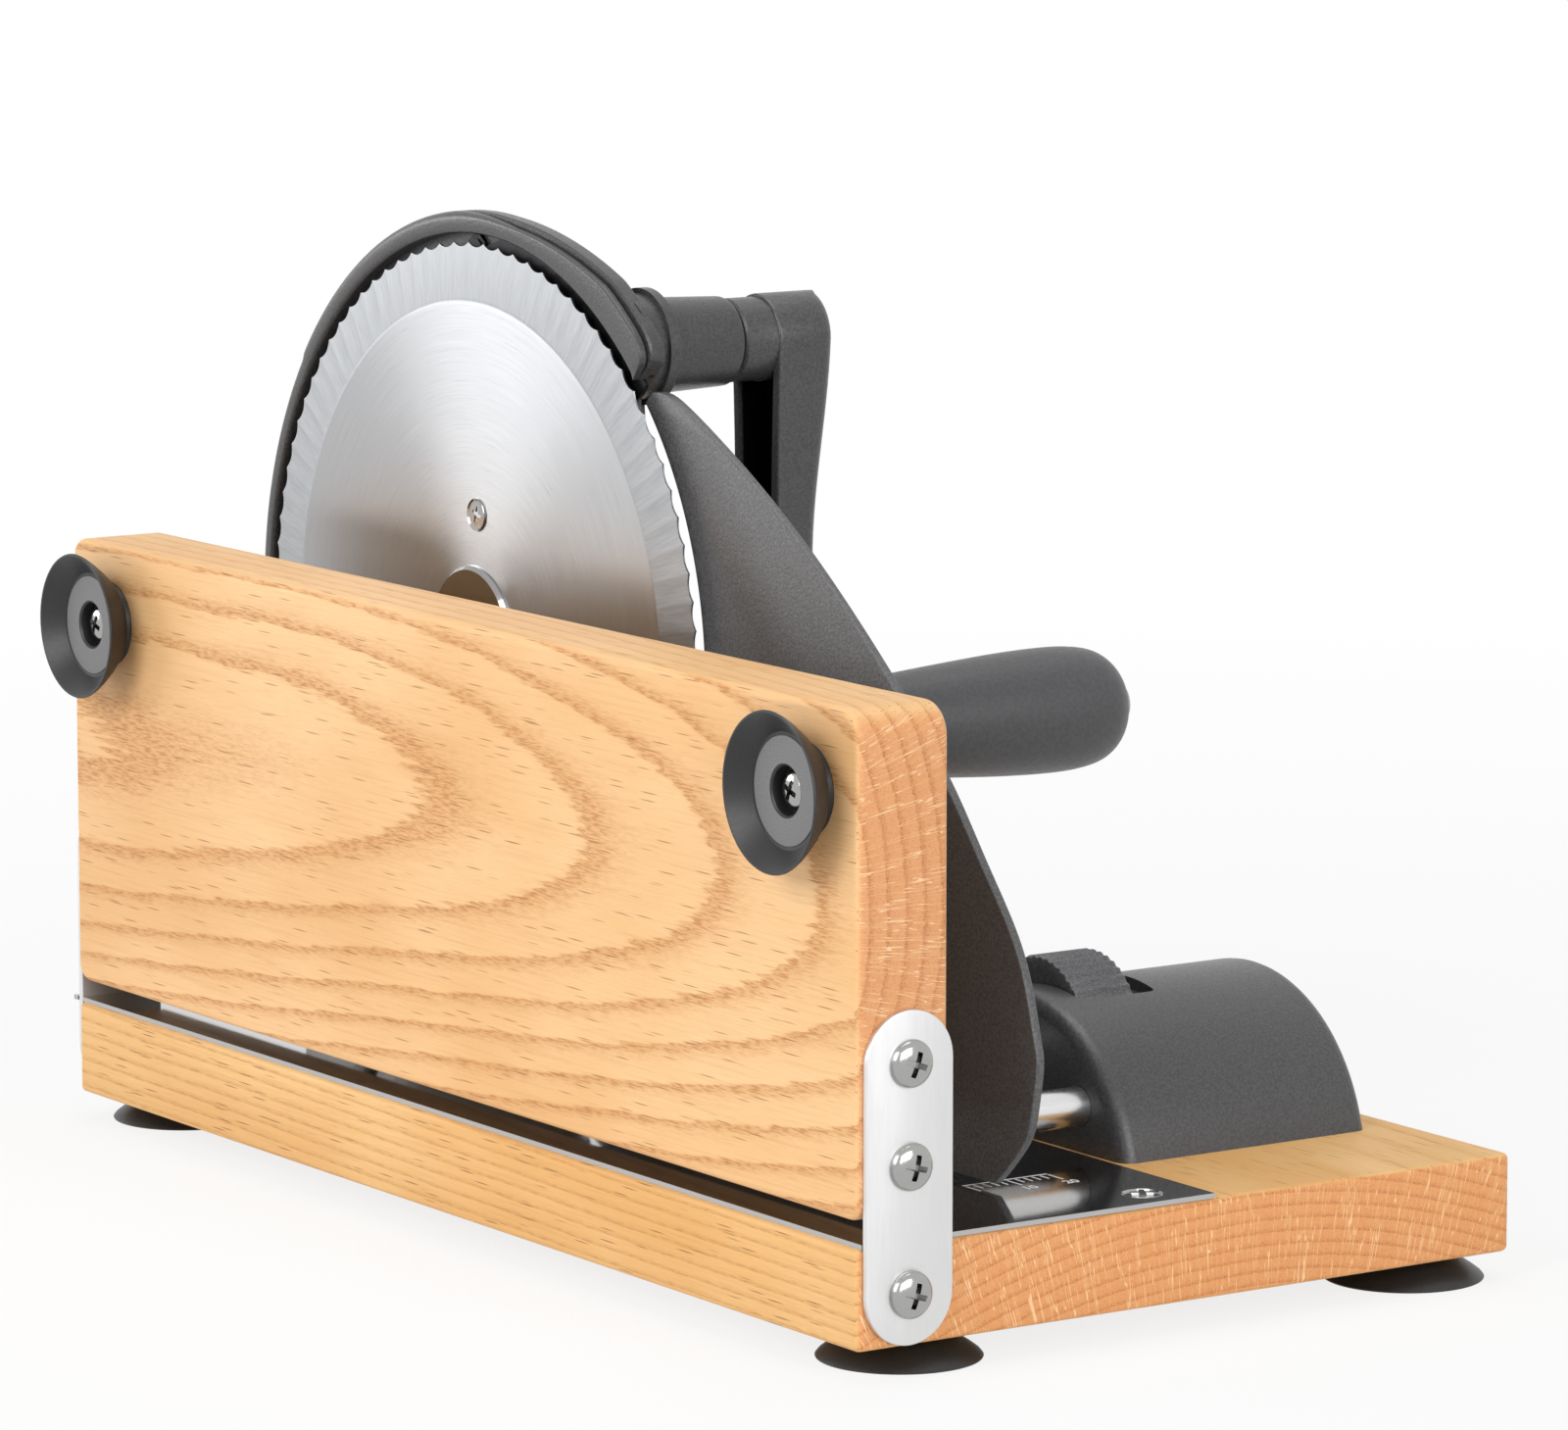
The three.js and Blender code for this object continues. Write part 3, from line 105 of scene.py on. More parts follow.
rim = Sizes(
    inner=86.8, outer=91.5, front=46.8, back=52.4, start=-60, end=135, bulge=95.29, bulge_start=96,
    bulge_full=122, tip=130.5, step=37, step_size=0.8, step_soft=1.6, front_round=2, inner_round=1.1,
    back_round=0.5, groove=0.45, groove_deep=0.9, lip_inset=1.3, groove_start=84, groove_full=100,
    lip_deep=1.5,
)
web = Sizes(front=50.4, back=52.4, outer=88, tip=80, round=0.6, lift=0.5)
case = Sizes(
    front=50.4, back=57.2, round=1.6,
    circles=[(211.4, 108.2, 23.0), (196.03, 157.75, 36.1), (160.02, 175.16, 11.1)],
)
pillar = Sizes(front=50.4, back=66, near=242, far=290, top=62, top_far=92, round=2.4)
foot = Sizes(
    front=48.4, back=84, near=236, far=290, thickness=6, corner=5, round=1.4,
    screws=[(76, 244), (76, 282)],
)

crank_axis = Sizes(y=160.02, z=175.16)
tube = Sizes(root=10, end=9.4, start=55, mouth=75.8, round=1.5, fillet=2.2)
arm = Sizes(
    front=84, back=95, top_back=98.2, hub_front=76.1, hub=8.8, length=85.2, top=9.4, waist=8.2, end=10.5,
    wall=2.3, floor=2.8, boss=6.5, outer_round=3.2, inner_round=0.7, waist_back=94.4, top_round=4.6,
    waist_share=0.55,
)
grip = Sizes(start=95.3, length=81, radius=13.6, bore=3.1)
rivet = Sizes(head=5, height=2.6, edge=0.9, shank=3)

stop = Sizes(
    front=50.5, back=52.5, near=12.1, tip=148.5, rear=186, bottom=22.3, top=167, inner=82.5, round=0.35,
)
rods = Sizes(radius=4, z=29.5, places=[50, 96], front=54.1, back=122.1, chamfer=0.5)
screw = Sizes(radius=4, y=76.5, z=39.2, front=54.1, back=124.1, thread=0.35, starts=5, lead=10, row=0.4)
wheel = Sizes(
    radius=16, front=97.6, back=112, ridges=44, ridge=0.5, edge=0.8, dish=2.6, boss=7, boss_front=91.3,
    boss_back=116.6,
)
barrel = Sizes(
    radius=38.2, y=72, z=11.6, front=88.6, back=150.7, wall=2.4, bottom=20, round=3.4, hole_slack=0.1,
)
slot = Sizes(front=97.1, back=116.1, near=15, far=18, corner=1.2)

# Smooth outlines, as shares of the lengths that each heading names

# The grip's radius and length
grip_shares = [
    (0.7, 0), (0.76, 0.15), (0.83, 0.3), (0.9, 0.45), (0.97, 0.62), (1, 0.76),
    (0.985, 0.86), (0.9, 0.935), (0.7, 0.982), (0.44, 1),
]
# The stop plate's curved outer edge, along its length and height
stop_shares = [
    (0.103, 0), (0.067, 0.03), (0.024, 0.077), (0.007, 0.134), (0, 0.182), (0.008, 0.215),
    (0.033, 0.291), (0.069, 0.353), (0.142, 0.437), (0.24, 0.545), (0.377, 0.663),
    (0.566, 0.799), (0.747, 0.905), (0.933, 0.992), (1, 1),
]
# The web's edge towards the user, of the guard's inner radius
web_shares = [(-0.62, 0.45), (-0.45, 0.2), (-0.36, -0.12), (-0.1, -0.4), (0.3, -0.58)]


# Outlines: lists of flat points

def spot(centre, radius, angle):
    """A point on a circle, at an angle in radians."""
    return (centre[0] + radius * math.cos(angle), centre[1] + radius * math.sin(angle))


def polar(centre, radius, degrees):
    return spot(centre, radius, math.radians(degrees))


def arc(centre, radius, start, end, count):
    """Points on a circle from one angle to another, in degrees, with both ends."""
    return [polar(centre, radius, start + (end - start) * index / count) for index in range(count + 1)]


def round_angles(count):
    """Equal steps once round a circle, in radians."""
    return [2 * math.pi * index / count for index in range(count)]


def rounding(size, steps, first=0):
    """Pairs of distances from a rounded corner's two sides, from the first side to the second."""
    angles = [math.pi / 2 * index / steps for index in range(first, steps + 1)]
    return [(size * (1 - math.cos(angle)), size * (1 - math.sin(angle))) for angle in angles]


def rounded_edge(radius, end, size, steps, first=0):
    """The rounded outer edge of a turned profile, up to its flat end."""
    return [(radius - inward, end - back) for inward, back in rounding(size, steps, first)]


def held(share):
    return min(max(share, 0), 1)


def rounded_rectangle(low, high, radii, count=8):
    """Corners in the order low-low, high-low, high-high, low-high."""
    corners = [
        ((low[0] + radii[0], low[1] + radii[0]), radii[0], 180),
        ((high[0] - radii[1], low[1] + radii[1]), radii[1], 270),
        ((high[0] - radii[2], high[1] - radii[2]), radii[2], 0),
        ((low[0] + radii[3], high[1] - radii[3]), radii[3], 90),
    ]
    points = []
    for centre, radius, start in corners:
        points += arc(centre, radius, start, start + 90, count)
    return points


def smooth_through(points, count):
    """A smooth curve through the points, with both ends."""
    curve = []
    last = len(points) - 1
    for index in range(count + 1):
        place = last * index / count
        segment = min(int(place), last - 1)
        t = place - segment
        before, start, end, after = (
            points[max(segment - 1, 0)],
            points[segment],
            points[segment + 1],
            points[min(segment + 2, last)],
        )
        curve.append(tuple(
            b + 0.5 * t * (c - a + t * (2 * a - 5 * b + 4 * c - d + t * (3 * (b - c) + d - a)))
            for a, b, c, d in zip(before, start, end, after)
        ))
    return curve


def inset(outline, distance):
    """The outline moved inwards. It runs anticlockwise."""
    moved = []
    count = len(outline)
    for index, point in enumerate(outline):
        before = Vector(outline[index - 1])
        here = Vector(point)
        after = Vector(outline[(index + 1) % count])
        first = (here - before).normalized()
        second = (after - here).normalized()
        normal = Vector((-first.y - second.y, first.x + second.x))
        normal.normalize()
        stretch = max(normal.dot(Vector((-first.y, first.x))), 0.5)
        moved.append(tuple(here + normal * (distance / stretch)))
    return moved


def without_doubles(outline, least=0.001):
    kept = []
    for point in outline:
        if not kept or math.dist(point, kept[-1]) > least:
            kept.append(point)
    if math.dist(kept[0], kept[-1]) <= least:
        kept.pop()
    return kept


def anticlockwise(outline):
    area = 0
    for index, (x, y) in enumerate(outline):
        next_x, next_y = outline[(index + 1) % len(outline)]
        area += x * next_y - next_x * y
    return outline if area > 0 else outline[::-1]


# Solids

def placed(name, data):
    """A new object in the scene."""
    made = bpy.data.objects.new(name, data)
    bpy.context.scene.collection.objects.link(made)
    return made


def solid(name, rings, capped=True):
    """A closed mesh through rings that have the same number of points."""
    vertices = [origin + Vector(point) * millimetre for ring in rings for point in ring]
    count = len(rings[0])
    faces = []
    for row in range(len(rings) - 1):
        for index in range(count):
            after = (index + 1) % count
            low = row * count
            faces.append((low + index, low + after, low + count + after, low + count + index))
    if capped:
        faces.append(tuple(range(count))[::-1])
        faces.append(tuple((len(rings) - 1) * count + index for index in range(count)))
    mesh = bpy.data.meshes.new(name)
    mesh.from_pydata([tuple(v) for v in vertices], [], faces)
    work = bmesh.new()
    work.from_mesh(mesh)
    bmesh.ops.remove_doubles(work, verts=work.verts, dist=0.001 * millimetre)
    bmesh.ops.recalc_face_normals(work, faces=work.faces)
    work.to_mesh(mesh)
    work.free()
    return placed(name, mesh)


def lifted(axis, outline, along):
    """Flat points as points in space, at one place along an axis."""
    if axis == "x":
        return [(along, a, b) for a, b in outline]
    if axis == "y":
        return [(a, along, b) for a, b in outline]
    return [(a, b, along) for a, b in outline]


def prism(name, axis, outline, low, high, low_round=0, high_round=0, steps=4):
    """An outline carried along an axis, with its rims rounded."""
    outline = anticlockwise(without_doubles(outline))
    levels = [(0, low + low_round), (0, high - high_round)]
    if low_round:
        levels = [(margin, low + along) for along, margin in rounding(low_round, steps)[:-1]] + levels
    if high_round:
        levels += [(margin, high - along) for along, margin in rounding(high_round, steps)[-2::-1]]
    return solid(name, [
        lifted(axis, inset(outline, margin) if margin else outline, along) for margin, along in levels
    ])


def circle_ring(axis, centre, radius, along, count):
    return lifted(axis, [spot(centre, radius, angle) for angle in round_angles(count)], along)


def turned(name, axis, centre, profile, count=64):
    """A profile of (radius, place along the axis) turned about a line along the axis."""
    least = 0.02
    rings = [circle_ring(axis, centre, max(radius, least), along, count) for radius, along in profile]
    return solid(name, rings)


def sleeve(name, axis, centre, profile, count=64):
    """A closed profile turned about a line, with a hole along the middle."""
    rings = [circle_ring(axis, centre, radius, along, count) for radius, along in [*profile, profile[0]]]
    return solid(name, rings, capped=False)


def apply_modifiers(piece):
    graph = bpy.context.evaluated_depsgraph_get()
    mesh = bpy.data.meshes.new_from_object(piece.evaluated_get(graph))
    piece.modifiers.clear()
    old = piece.data
    piece.data = mesh
    bpy.data.meshes.remove(old)


def combine(piece, others, operation):
    for other in others:
        modifier = piece.modifiers.new(operation, "BOOLEAN")
        modifier.operation = operation
        modifier.solver = "EXACT"
        modifier.object = other
        apply_modifiers(piece)
        bpy.data.objects.remove(other)
    return piece


def carve(piece, *tools):
    return combine(piece, tools, "DIFFERENCE")


def join(piece, *others):
    return combine(piece, others, "UNION")


def dress(piece, look, body, slot_name, *nodes, sharp=32):
    """Gives a piece its material and its body, and hides the CAD nodes that it stands for."""
    piece.data.name = piece.name
    piece.data.materials.clear()
    piece.data.materials.append(look)
    piece.data.shade_smooth()
    piece.data.set_sharp_from_angle(angle=math.radians(sharp))
    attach(piece, body)
    if nodes:
        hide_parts(*nodes)
    return piece


# Materials

class Look:
    """A material, with short calls that add nodes and give back their outputs."""

    def __init__(self, name, **values):
        self.material = bpy.data.materials.new(name)
        self.material.use_nodes = True
        self.tree = self.material.node_tree
        self.shader = self.tree.nodes["Principled BSDF"]
        for key, value in values.items():
            self.shader.inputs[key.replace("_", " ").title().replace("Ior", "IOR")].default_value = value

    def feed(self, socket, value):
        if isinstance(value, bpy.types.NodeSocket):
            self.tree.links.new(value, socket)
        elif isinstance(value, tuple) and socket.type == "RGBA":
            socket.default_value = (*value, 1)
        else:
            socket.default_value = value

    def node(self, kind, *values, inputs=(), **settings):
        """A new node. Values are fed to its inputs in order, and those in inputs by name or number."""
        made = self.tree.nodes.new(kind)
        for key, value in settings.items():
            setattr(made, key, value)
        for key, value in [*enumerate(values), *dict(inputs).items()]:
            self.feed(made.inputs[key], value)
        return made

    def math(self, operation, *values):
        return self.node("ShaderNodeMath", *values, operation=operation).outputs[0]

    def times(self, *values):
        return self.math("MULTIPLY", *values)

    def minus(self, *values):
        return self.math("SUBTRACT", *values)

    def vector(self, operation, *values):
        made = self.node("ShaderNodeVectorMath", *values, operation=operation)
        return made.outputs["Value" if operation == "LENGTH" else "Vector"]

    def place(self):
        """Where a point is on the part, in millimetres from the base board's corner."""
        coordinates = self.node("ShaderNodeTexCoord").outputs["Object"]
        scale = {"Scale": 1 / millimetre}
        scaled = self.node("ShaderNodeVectorMath", coordinates, inputs=scale, operation="SCALE").outputs[0]
        return self.vector("SUBTRACT", scaled, tuple(origin / millimetre))

    def split(self, vector):
        return self.node("ShaderNodeSeparateXYZ", vector).outputs

    def together(self, x, y, z):
        return self.node("ShaderNodeCombineXYZ", x, y, z).outputs[0]

    def noise(self, vector, stretch=None, scale=1, detail=2, roughness=0.5):
        if stretch:
            vector = self.vector("MULTIPLY", vector, stretch)
        inputs = {"Vector": vector, "Scale": scale, "Detail": detail, "Roughness": roughness}
        return self.node("ShaderNodeTexNoise", inputs=inputs).outputs[0]

    def cells(self, vector, stretch):
        inputs = {"Vector": self.vector("MULTIPLY", vector, stretch), "Scale": 1}
        return self.node("ShaderNodeTexVoronoi", inputs=inputs).outputs["Distance"]

    def between(self, value, low, high, to_low=0, to_high=1):
        return self.node("ShaderNodeMapRange", value, low, high, to_low, to_high).outputs[0]

    def ramp(self, value, stops):
        made = self.node("ShaderNodeValToRGB", value)
        while len(made.color_ramp.elements) < len(stops):
            made.color_ramp.elements.new(0)
        for element, (place, level) in zip(made.color_ramp.elements, stops):
            element.position = place
            element.color = (level, level, level, 1)
        return made.outputs[0]

    def mix(self, share, first, second):
        inputs = {"Factor": share, 6: first, 7: second}
        return self.node("ShaderNodeMix", inputs=inputs, data_type="RGBA").outputs[2]

    def bump(self, height, distance, strength=1.0):
        """Height is in shares of the distance, which is in millimetres."""
        inputs = {"Height": height, "Distance": distance * millimetre, "Strength": strength}
        made = self.node("ShaderNodeBump", inputs=inputs)
        self.tree.links.new(made.outputs[0], self.shader.inputs["Normal"])

    def colour(self, value):
        self.feed(self.shader.inputs["Base Color"], value)

    def rough(self, value):
        self.feed(self.shader.inputs["Roughness"], value)


def shade(red, green, blue):
    """A colour as it looks on screen, from 0 to 255, as the linear values that a shader takes."""
    levels = []
    for value in (red, green, blue):
        share = value / 255
        levels.append(share / 12.92 if share <= 0.04045 else ((share + 0.055) / 1.055) ** 2.4)
    return tuple(levels)


def polynomial(look, value, factors):
    total = factors[-1]
    for factor in reversed(factors[:-1]):
        total = look.math("MULTIPLY_ADD", value, total, factor)
    return total


def oak(name, pith_x, pith_z, spacing, first_ring, tones):
    """Oak with rings about a pith line, given by factors of the share of the board's length."""
    look = Look(name, roughness=0.5, specular_ior_level=0.25)
    point = look.place()
    x, y, z = look.split(point)
    share = look.math("DIVIDE", y, base.length)
    across = look.minus(x, polynomial(look, share, pith_x))
    up = look.minus(z, polynomial(look, share, pith_z))
    flat = look.together(across, 0.0, up)
    radius = look.vector("LENGTH", flat)
    angle = look.math("ARCTAN2", up, across)

    slow = look.noise(point, (0.02, 0.009, 0.02), detail=1)
    wander = look.math("MULTIPLY_ADD", slow, tones["wander"], -tones["wander"] / 2)
    ragged = look.noise(point, (0.9, 0.07, 0.9), detail=3)
    ragged_shift = look.math("MULTIPLY_ADD", ragged, tones["ragged"], -tones["ragged"] / 2)
    wavy = look.math("ADD", look.math("ADD", radius, wander), ragged_shift)
    ring = look.math("DIVIDE", look.minus(wavy, first_ring), spacing)
    phase = look.math("FRACT", ring)
    early = look.ramp(phase, [
        (0, 0.15), (0.04, 1), (0.14, 0.95), (0.27, 0.4), (0.46, 0.1), (0.94, 0), (1, 0.15),
    ])

    fibre = look.noise(point, (3, 0.12, 3), detail=3, roughness=0.6)
    broad = look.noise(point, (0.03, 0.012, 0.03), detail=2)
    pores = look.cells(point, (1.3, 0.05, 1.3))
    dash = look.between(pores, 0.19, 0.09)
    fine = look.noise(point, (2.6, 0.3, 2.6), detail=2)
    stipple = look.between(fine, 0.46, 0.6)

    normal = look.node("ShaderNodeTexCoord").outputs["Normal"]
    end_grain = look.between(look.math("ABSOLUTE", look.split(normal)[1]), 0.55, 0.9)
    edge_on = look.between(look.math("ABSOLUTE", look.split(normal)[2]), 0.5, 0.9)

    face = look.mix(look.between(broad, 0.35, 0.65), tones["pale"], tones["honey"])
    face = look.mix(look.times(look.between(fibre, 0.35, 0.7), 0.5), face, tones["honey"])
    streak = look.noise(point, (1.6, 0.03, 1.6), detail=4, roughness=0.7)
    face = look.mix(look.times(look.between(streak, 0.5, 0.75), 0.3), face, tones["band"])
    band = look.times(early, look.between(stipple, 0, 1, 0.45, 1))
    band = look.times(band, look.between(edge_on, 0, 1, 1, 0.4))
    face = look.mix(look.times(band, tones["band_strength"]), face, tones["band"])
    face = look.mix(look.times(dash, tones["dash_strength"]), face, tones["dash"])

    rays = look.noise(look.together(
        look.times(angle, tones["ray_scale"]),
        look.times(radius, 0.03),
        look.times(y, 0.05),
    ), detail=2, roughness=0.7)
    ray = look.between(look.math("ABSOLUTE", look.minus(rays, 0.5)), 0.012, 0.004)
    pits = look.cells(point, (1.9, 0.2, 1.9))
    pit = look.times(look.between(pits, 0.45, 0.25), look.between(early, 0, 1, 0.35, 1))
    end = look.mix(look.times(early, 0.45), tones["end_pale"], tones["end_band"])
    end = look.mix(look.times(pit, 0.5), end, tones["end_pit"])
    end = look.mix(look.times(ray, 0.8), end, tones["end_ray"])

    look.colour(look.mix(end_grain, face, end))
    look.rough(look.between(early, 0, 1, 0.5, 0.62))
    depth = look.math("ADD", look.times(dash, 0.7), look.times(band, 0.3))
    look.bump(look.times(depth, -1.0), 0.06, 0.5)
    return look.material


board_oak = oak(
    "oak_board", (-76, 38, -19), (86, 8, -14), 4.2, 2.6,
    {
        "pale": shade(244, 202, 150), "honey": shade(232, 184, 128), "band": shade(190, 128, 72),
        "dash": shade(150, 98, 54), "band_strength": 0.85, "dash_strength": 0.8,
        "end_pale": shade(222, 160, 110), "end_band": shade(190, 118, 70), "end_pit": shade(158, 90, 48),
        "end_ray": shade(250, 214, 168), "ray_scale": 60, "wander": 2.8, "ragged": 1.5,
    },
)
base_oak = oak(
    "oak_base", (90, 3, 0), (-173, 6, 0), 2.6, 0,
    {
        "pale": shade(238, 196, 136), "honey": shade(226, 174, 108), "band": shade(186, 130, 72),
        "dash": shade(136, 92, 52), "band_strength": 0.6, "dash_strength": 0.9,
        "end_pale": shade(226, 160, 104), "end_band": shade(196, 120, 68), "end_pit": shade(168, 94, 48),
        "end_ray": shade(250, 212, 164), "ray_scale": 130, "wander": 1.6, "ragged": 0.5,
    },
)


def coated(name, tone, roughness, grain, depth, speckle=0.4, hollow=None):
    """A black coating with a fine grain, in millimetres across and deep. Where a hollow mask is given,
    painted shade makes that part near-black and dull.
    """
    look = Look(name, roughness=roughness)
    point = look.place()
    lumps = look.noise(point, scale=1 / grain, detail=3, roughness=0.6)
    flecks = look.noise(point, scale=1.3 / grain, detail=2)
    dark = tuple(value * (1 - speckle) for value in tone)
    light = tuple(value * (1 + speckle) for value in tone)
    colour = look.mix(look.between(flecks, 0.4, 0.6), dark, light)
    if hollow:
        # Painted shade: inside the mask the colour goes near-black and the specular is turned down, standing
        # in for the shade in the recess.
        inside = hollow(look, point)
        colour = look.mix(inside, colour, (0.003, 0.003, 0.003))
        look.feed(look.shader.inputs["Specular IOR Level"], look.between(inside, 0, 1, 0.5, 0.02))
    look.colour(colour)
    look.rough(look.between(lumps, 0.3, 0.7, roughness - 0.06, roughness + 0.06))
    look.bump(lumps, depth)
    return look.material


def arm_hollow_painted_shade(look, point):
    """One inside the hollow of the crank arm, where painted shade makes the coating near-black and dull."""
    x, y, z = look.split(point)
    aside = look.math("ABSOLUTE", look.minus(y, crank_axis.y))
    low = crank_axis.z - arm.length + arm.boss
    high = crank_axis.z - arm.hub
    inside = look.between(aside, arm.waist - 0.7, arm.waist - 0.9)
    for value, start, end in (
        (x, arm.front + 0.5, arm.front + 1.2),
        (x, arm.back - arm.floor + 0.6, arm.back - arm.floor + 0.4),
        (z, low - 0.2, low),
        (z, high + 0.2, high),
    ):
        inside = look.times(inside, look.between(value, start, end))
    return inside


casting_black = coated("casting_black", (0.046, 0.046, 0.048), 0.33, 0.7, 0.07, 0.25)
# The crank arm's black coating, with painted shade in the hollow of its arm.
crank_black_with_painted_shade = coated("crank_black_with_painted_shade", (0.055, 0.055, 0.057), 0.33, 0.7, 0.07, 0.25, arm_hollow_painted_shade)
sheet_black = coated("sheet_black", (0.09, 0.09, 0.094), 0.42, 0.7, 0.07, 0.25)
housing_black = coated("housing_black", (0.058, 0.058, 0.061), 0.36, 0.7, 0.07, 0.22)
grip_black = coated("grip_black", (0.062, 0.062, 0.066), 0.42, 1.2, 0.006, 0.1)
wheel_black = coated("wheel_black", (0.095, 0.095, 0.1), 0.45, 0.5, 0.03)
rubber_black = coated("rubber_black", (0.013, 0.013, 0.014), 0.42, 0.4, 0.02, 0.15)
rubber_grey = coated("rubber_grey", (0.17, 0.17, 0.175), 0.6, 0.3, 0.015, 0.2)


def metal(name, tone, roughness, scratch=(0.4, 0.4, 0.4), uneven=0.05, depth=0.004):
    """Bare metal with faint scratches that are longer where their share is smaller."""
    look = Look(name, roughness=roughness, metallic=1.0)
    point = look.place()
    lines = look.noise(point, scratch, detail=4, roughness=0.65)
    pale = tuple(min(value * 1.05, 1) for value in tone)
    deep = tuple(value * 0.93 for value in tone)
    look.colour(look.mix(lines, deep, pale))
    look.rough(look.between(lines, 0.3, 0.7, roughness - uneven, roughness + uneven))
    look.bump(lines, depth)
    return look.material


screw_steel = metal("screw_steel", (0.4, 0.4, 0.39), 0.14, (1.5, 1.5, 1.5), 0.05)
rod_steel = metal("rod_steel", (0.72, 0.72, 0.72), 0.24, (0.15, 4, 4), 0.05)
strap_steel = metal("strap_steel", (0.7, 0.7, 0.7), 0.42, (4, 4, 0.12), 0.05, 0.006)
plate_steel = metal("plate_steel", (0.5, 0.49, 0.48), 0.07, (2, 0.2, 2), 0.02, 0.001)
hidden_steel = metal("hidden_steel", (0.6, 0.6, 0.6), 0.3, (1, 1, 1))
blackened_steel = metal("blackened_steel", (0.045, 0.045, 0.048), 0.5, (1, 1, 1))
hub_steel = metal("hub_steel", (0.34, 0.33, 0.32), 0.1, (2, 2, 2), 0.03, 0.001)
bush_bronze = metal("bush_bronze", (0.5, 0.33, 0.14), 0.35, (1, 1, 1))
gear_nylon = coated("gear_nylon", (0.7, 0.68, 0.62), 0.45, 0.8, 0.01, 0.03)
mark_white = coated("mark_white", (0.85, 0.85, 0.84), 0.5, 0.3, 0.002, 0.02)


def blade_look():
    """Steel with fine rings about the blade's middle, and rays on the ground edge."""
    look = Look("blade_steel", metallic=1.0)
    tangent = look.node("ShaderNodeTangent", direction_type="RADIAL", axis="X")
    look.feed(look.shader.inputs["Tangent"], tangent.outputs[0])
    x, y, z = look.split(look.place())
    across = look.minus(y, blade.y)
    up = look.minus(z, blade.z)
    radius = look.vector("LENGTH", look.together(across, 0.0, up))
    angle = look.math("ARCTAN2", up, across)
    rings = look.noise(look.together(
        look.times(radius, 3.0), look.times(angle, 2.5), 0.0,
    ), detail=5, roughness=0.7)
    rays = look.noise(look.together(
        look.times(radius, 0.12), look.times(angle, 120.0), 3.0,
    ), detail=4, roughness=0.7)
    start = blade.radius - blade.bevel
    edge = look.between(radius, start - 0.3, start + 0.3)
    lines = look.mix(edge, rings, rays)
    flat_tone = look.mix(rings, (0.36, 0.368, 0.378), (0.58, 0.59, 0.61))
    ground_tone = look.mix(rays, (0.22, 0.225, 0.234), (0.39, 0.4, 0.413))
    look.colour(look.mix(edge, flat_tone, ground_tone))
    look.rough(look.math("ADD", look.between(lines, 0.3, 0.7, 0.27, 0.33), look.between(edge, 0, 1, 0, 0.06)))
    look.feed(look.shader.inputs["Anisotropic"], look.between(edge, 0, 1, 0.82, 0.3))
    look.feed(look.shader.inputs["Anisotropic Rotation"], look.between(edge, 0, 1, 0.25, 0))
    look.bump(lines, 0.006)
    return look.material


blade_steel = blade_look()


# Screws

def cross_tool(sizes, top):
    """A tapered cross that cuts a screw's recess, with its opening at the top."""
    half = sizes.cross / 2
    reach = sizes.cross_reach
    rings = []
    above, above_share, end_share = -0.6, 1.08, 0.62
    for depth, share in ((above, above_share), (sizes.deep, end_share)):
        wide = half * (0.5 + share / 2)
        far = reach * share
        outline = [
            (far, -wide), (far, wide), (wide, wide), (wide, far), (-wide, far), (-wide, wide),
            (-far, wide), (-far, -wide), (-wide, -wide), (-wide, -far), (wide, -far), (wide, -wide),
        ]
        rings.append(lifted("z", outline, top + depth))
    return rings


def pan_screw(name, sizes):
    """A domed screw that points along +z, with its head's underside at zero."""
    radius, height = sizes.radius, sizes.height
    profile = [(0, sizes.length), (sizes.shank, sizes.length - sizes.point), (sizes.shank, 0)]
    profile += [(radius - sizes.edge, 0), (radius, -sizes.edge), (radius, -0.2 * height)]
    for index in range(1, 13):
        angle = math.pi / 2 * index / 12
        profile.append((radius * math.cos(angle) ** 0.8, -0.2 * height - 0.8 * height * math.sin(angle)))
    piece = turned(name, "z", (0, 0), profile, 48)
    return carve(piece, solid("tool", cross_tool(sizes, -height)))


def flat_screw(name, sizes):
    """A countersunk screw that points along +z, with its head's rim at zero."""
    radius = sizes.radius
    proud = -sizes.proud
    profile = [(0, sizes.length), (sizes.shank, sizes.length - sizes.point), (sizes.shank, sizes.cone)]
    profile += [(radius, 0), (radius, proud + sizes.edge), (radius - sizes.edge, proud)]
    profile += [(radius - sizes.rim, proud + sizes.dish)]
    profile += [(radius - sizes.rim - 0.3, proud + sizes.dish + 0.02), (0, proud + sizes.dish * 0.6)]
    piece = turned(name, "z", (0, 0), profile, 48)
    return carve(piece, solid("tool", cross_tool(sizes, proud + sizes.dish)))


ways = {
    "up": Matrix.Identity(4),
    "down": Matrix.Rotation(math.pi, 4, "X"),
    "right": Matrix.Rotation(math.pi / 2, 4, "Y"),
    "away": Matrix.Rotation(-math.pi / 2, 4, "X"),
    "near": Matrix.Rotation(math.pi / 2, 4, "X"),
}


def put(piece, way, at, turn=0.0):
    """Turns a screw that points up to its way, and moves its head to a place."""
    spin = Matrix.Rotation(turn, 4, "Z")
    back = Matrix.Translation(-origin)
    move = Matrix.Translation(origin + Vector(at) * millimetre)
    piece.data.transform(move @ ways[way] @ spin @ back)
    return piece


def copy_of(piece, name):
    return placed(name, piece.data.copy())


pan_model = pan_screw("pan_model", pan_head)
small_model = pan_screw("small_model", small_head)
flat_model = flat_screw("flat_model", flat_head)
blade_model = flat_screw("blade_model", blade_head)


def fit_screw(model, name, way, at, turn, body, *nodes):
    piece = put(copy_of(model, name), way, at, turn)
    return dress(piece, screw_steel, body, "plain_steel", *nodes)


# Base board, slide plate and scale

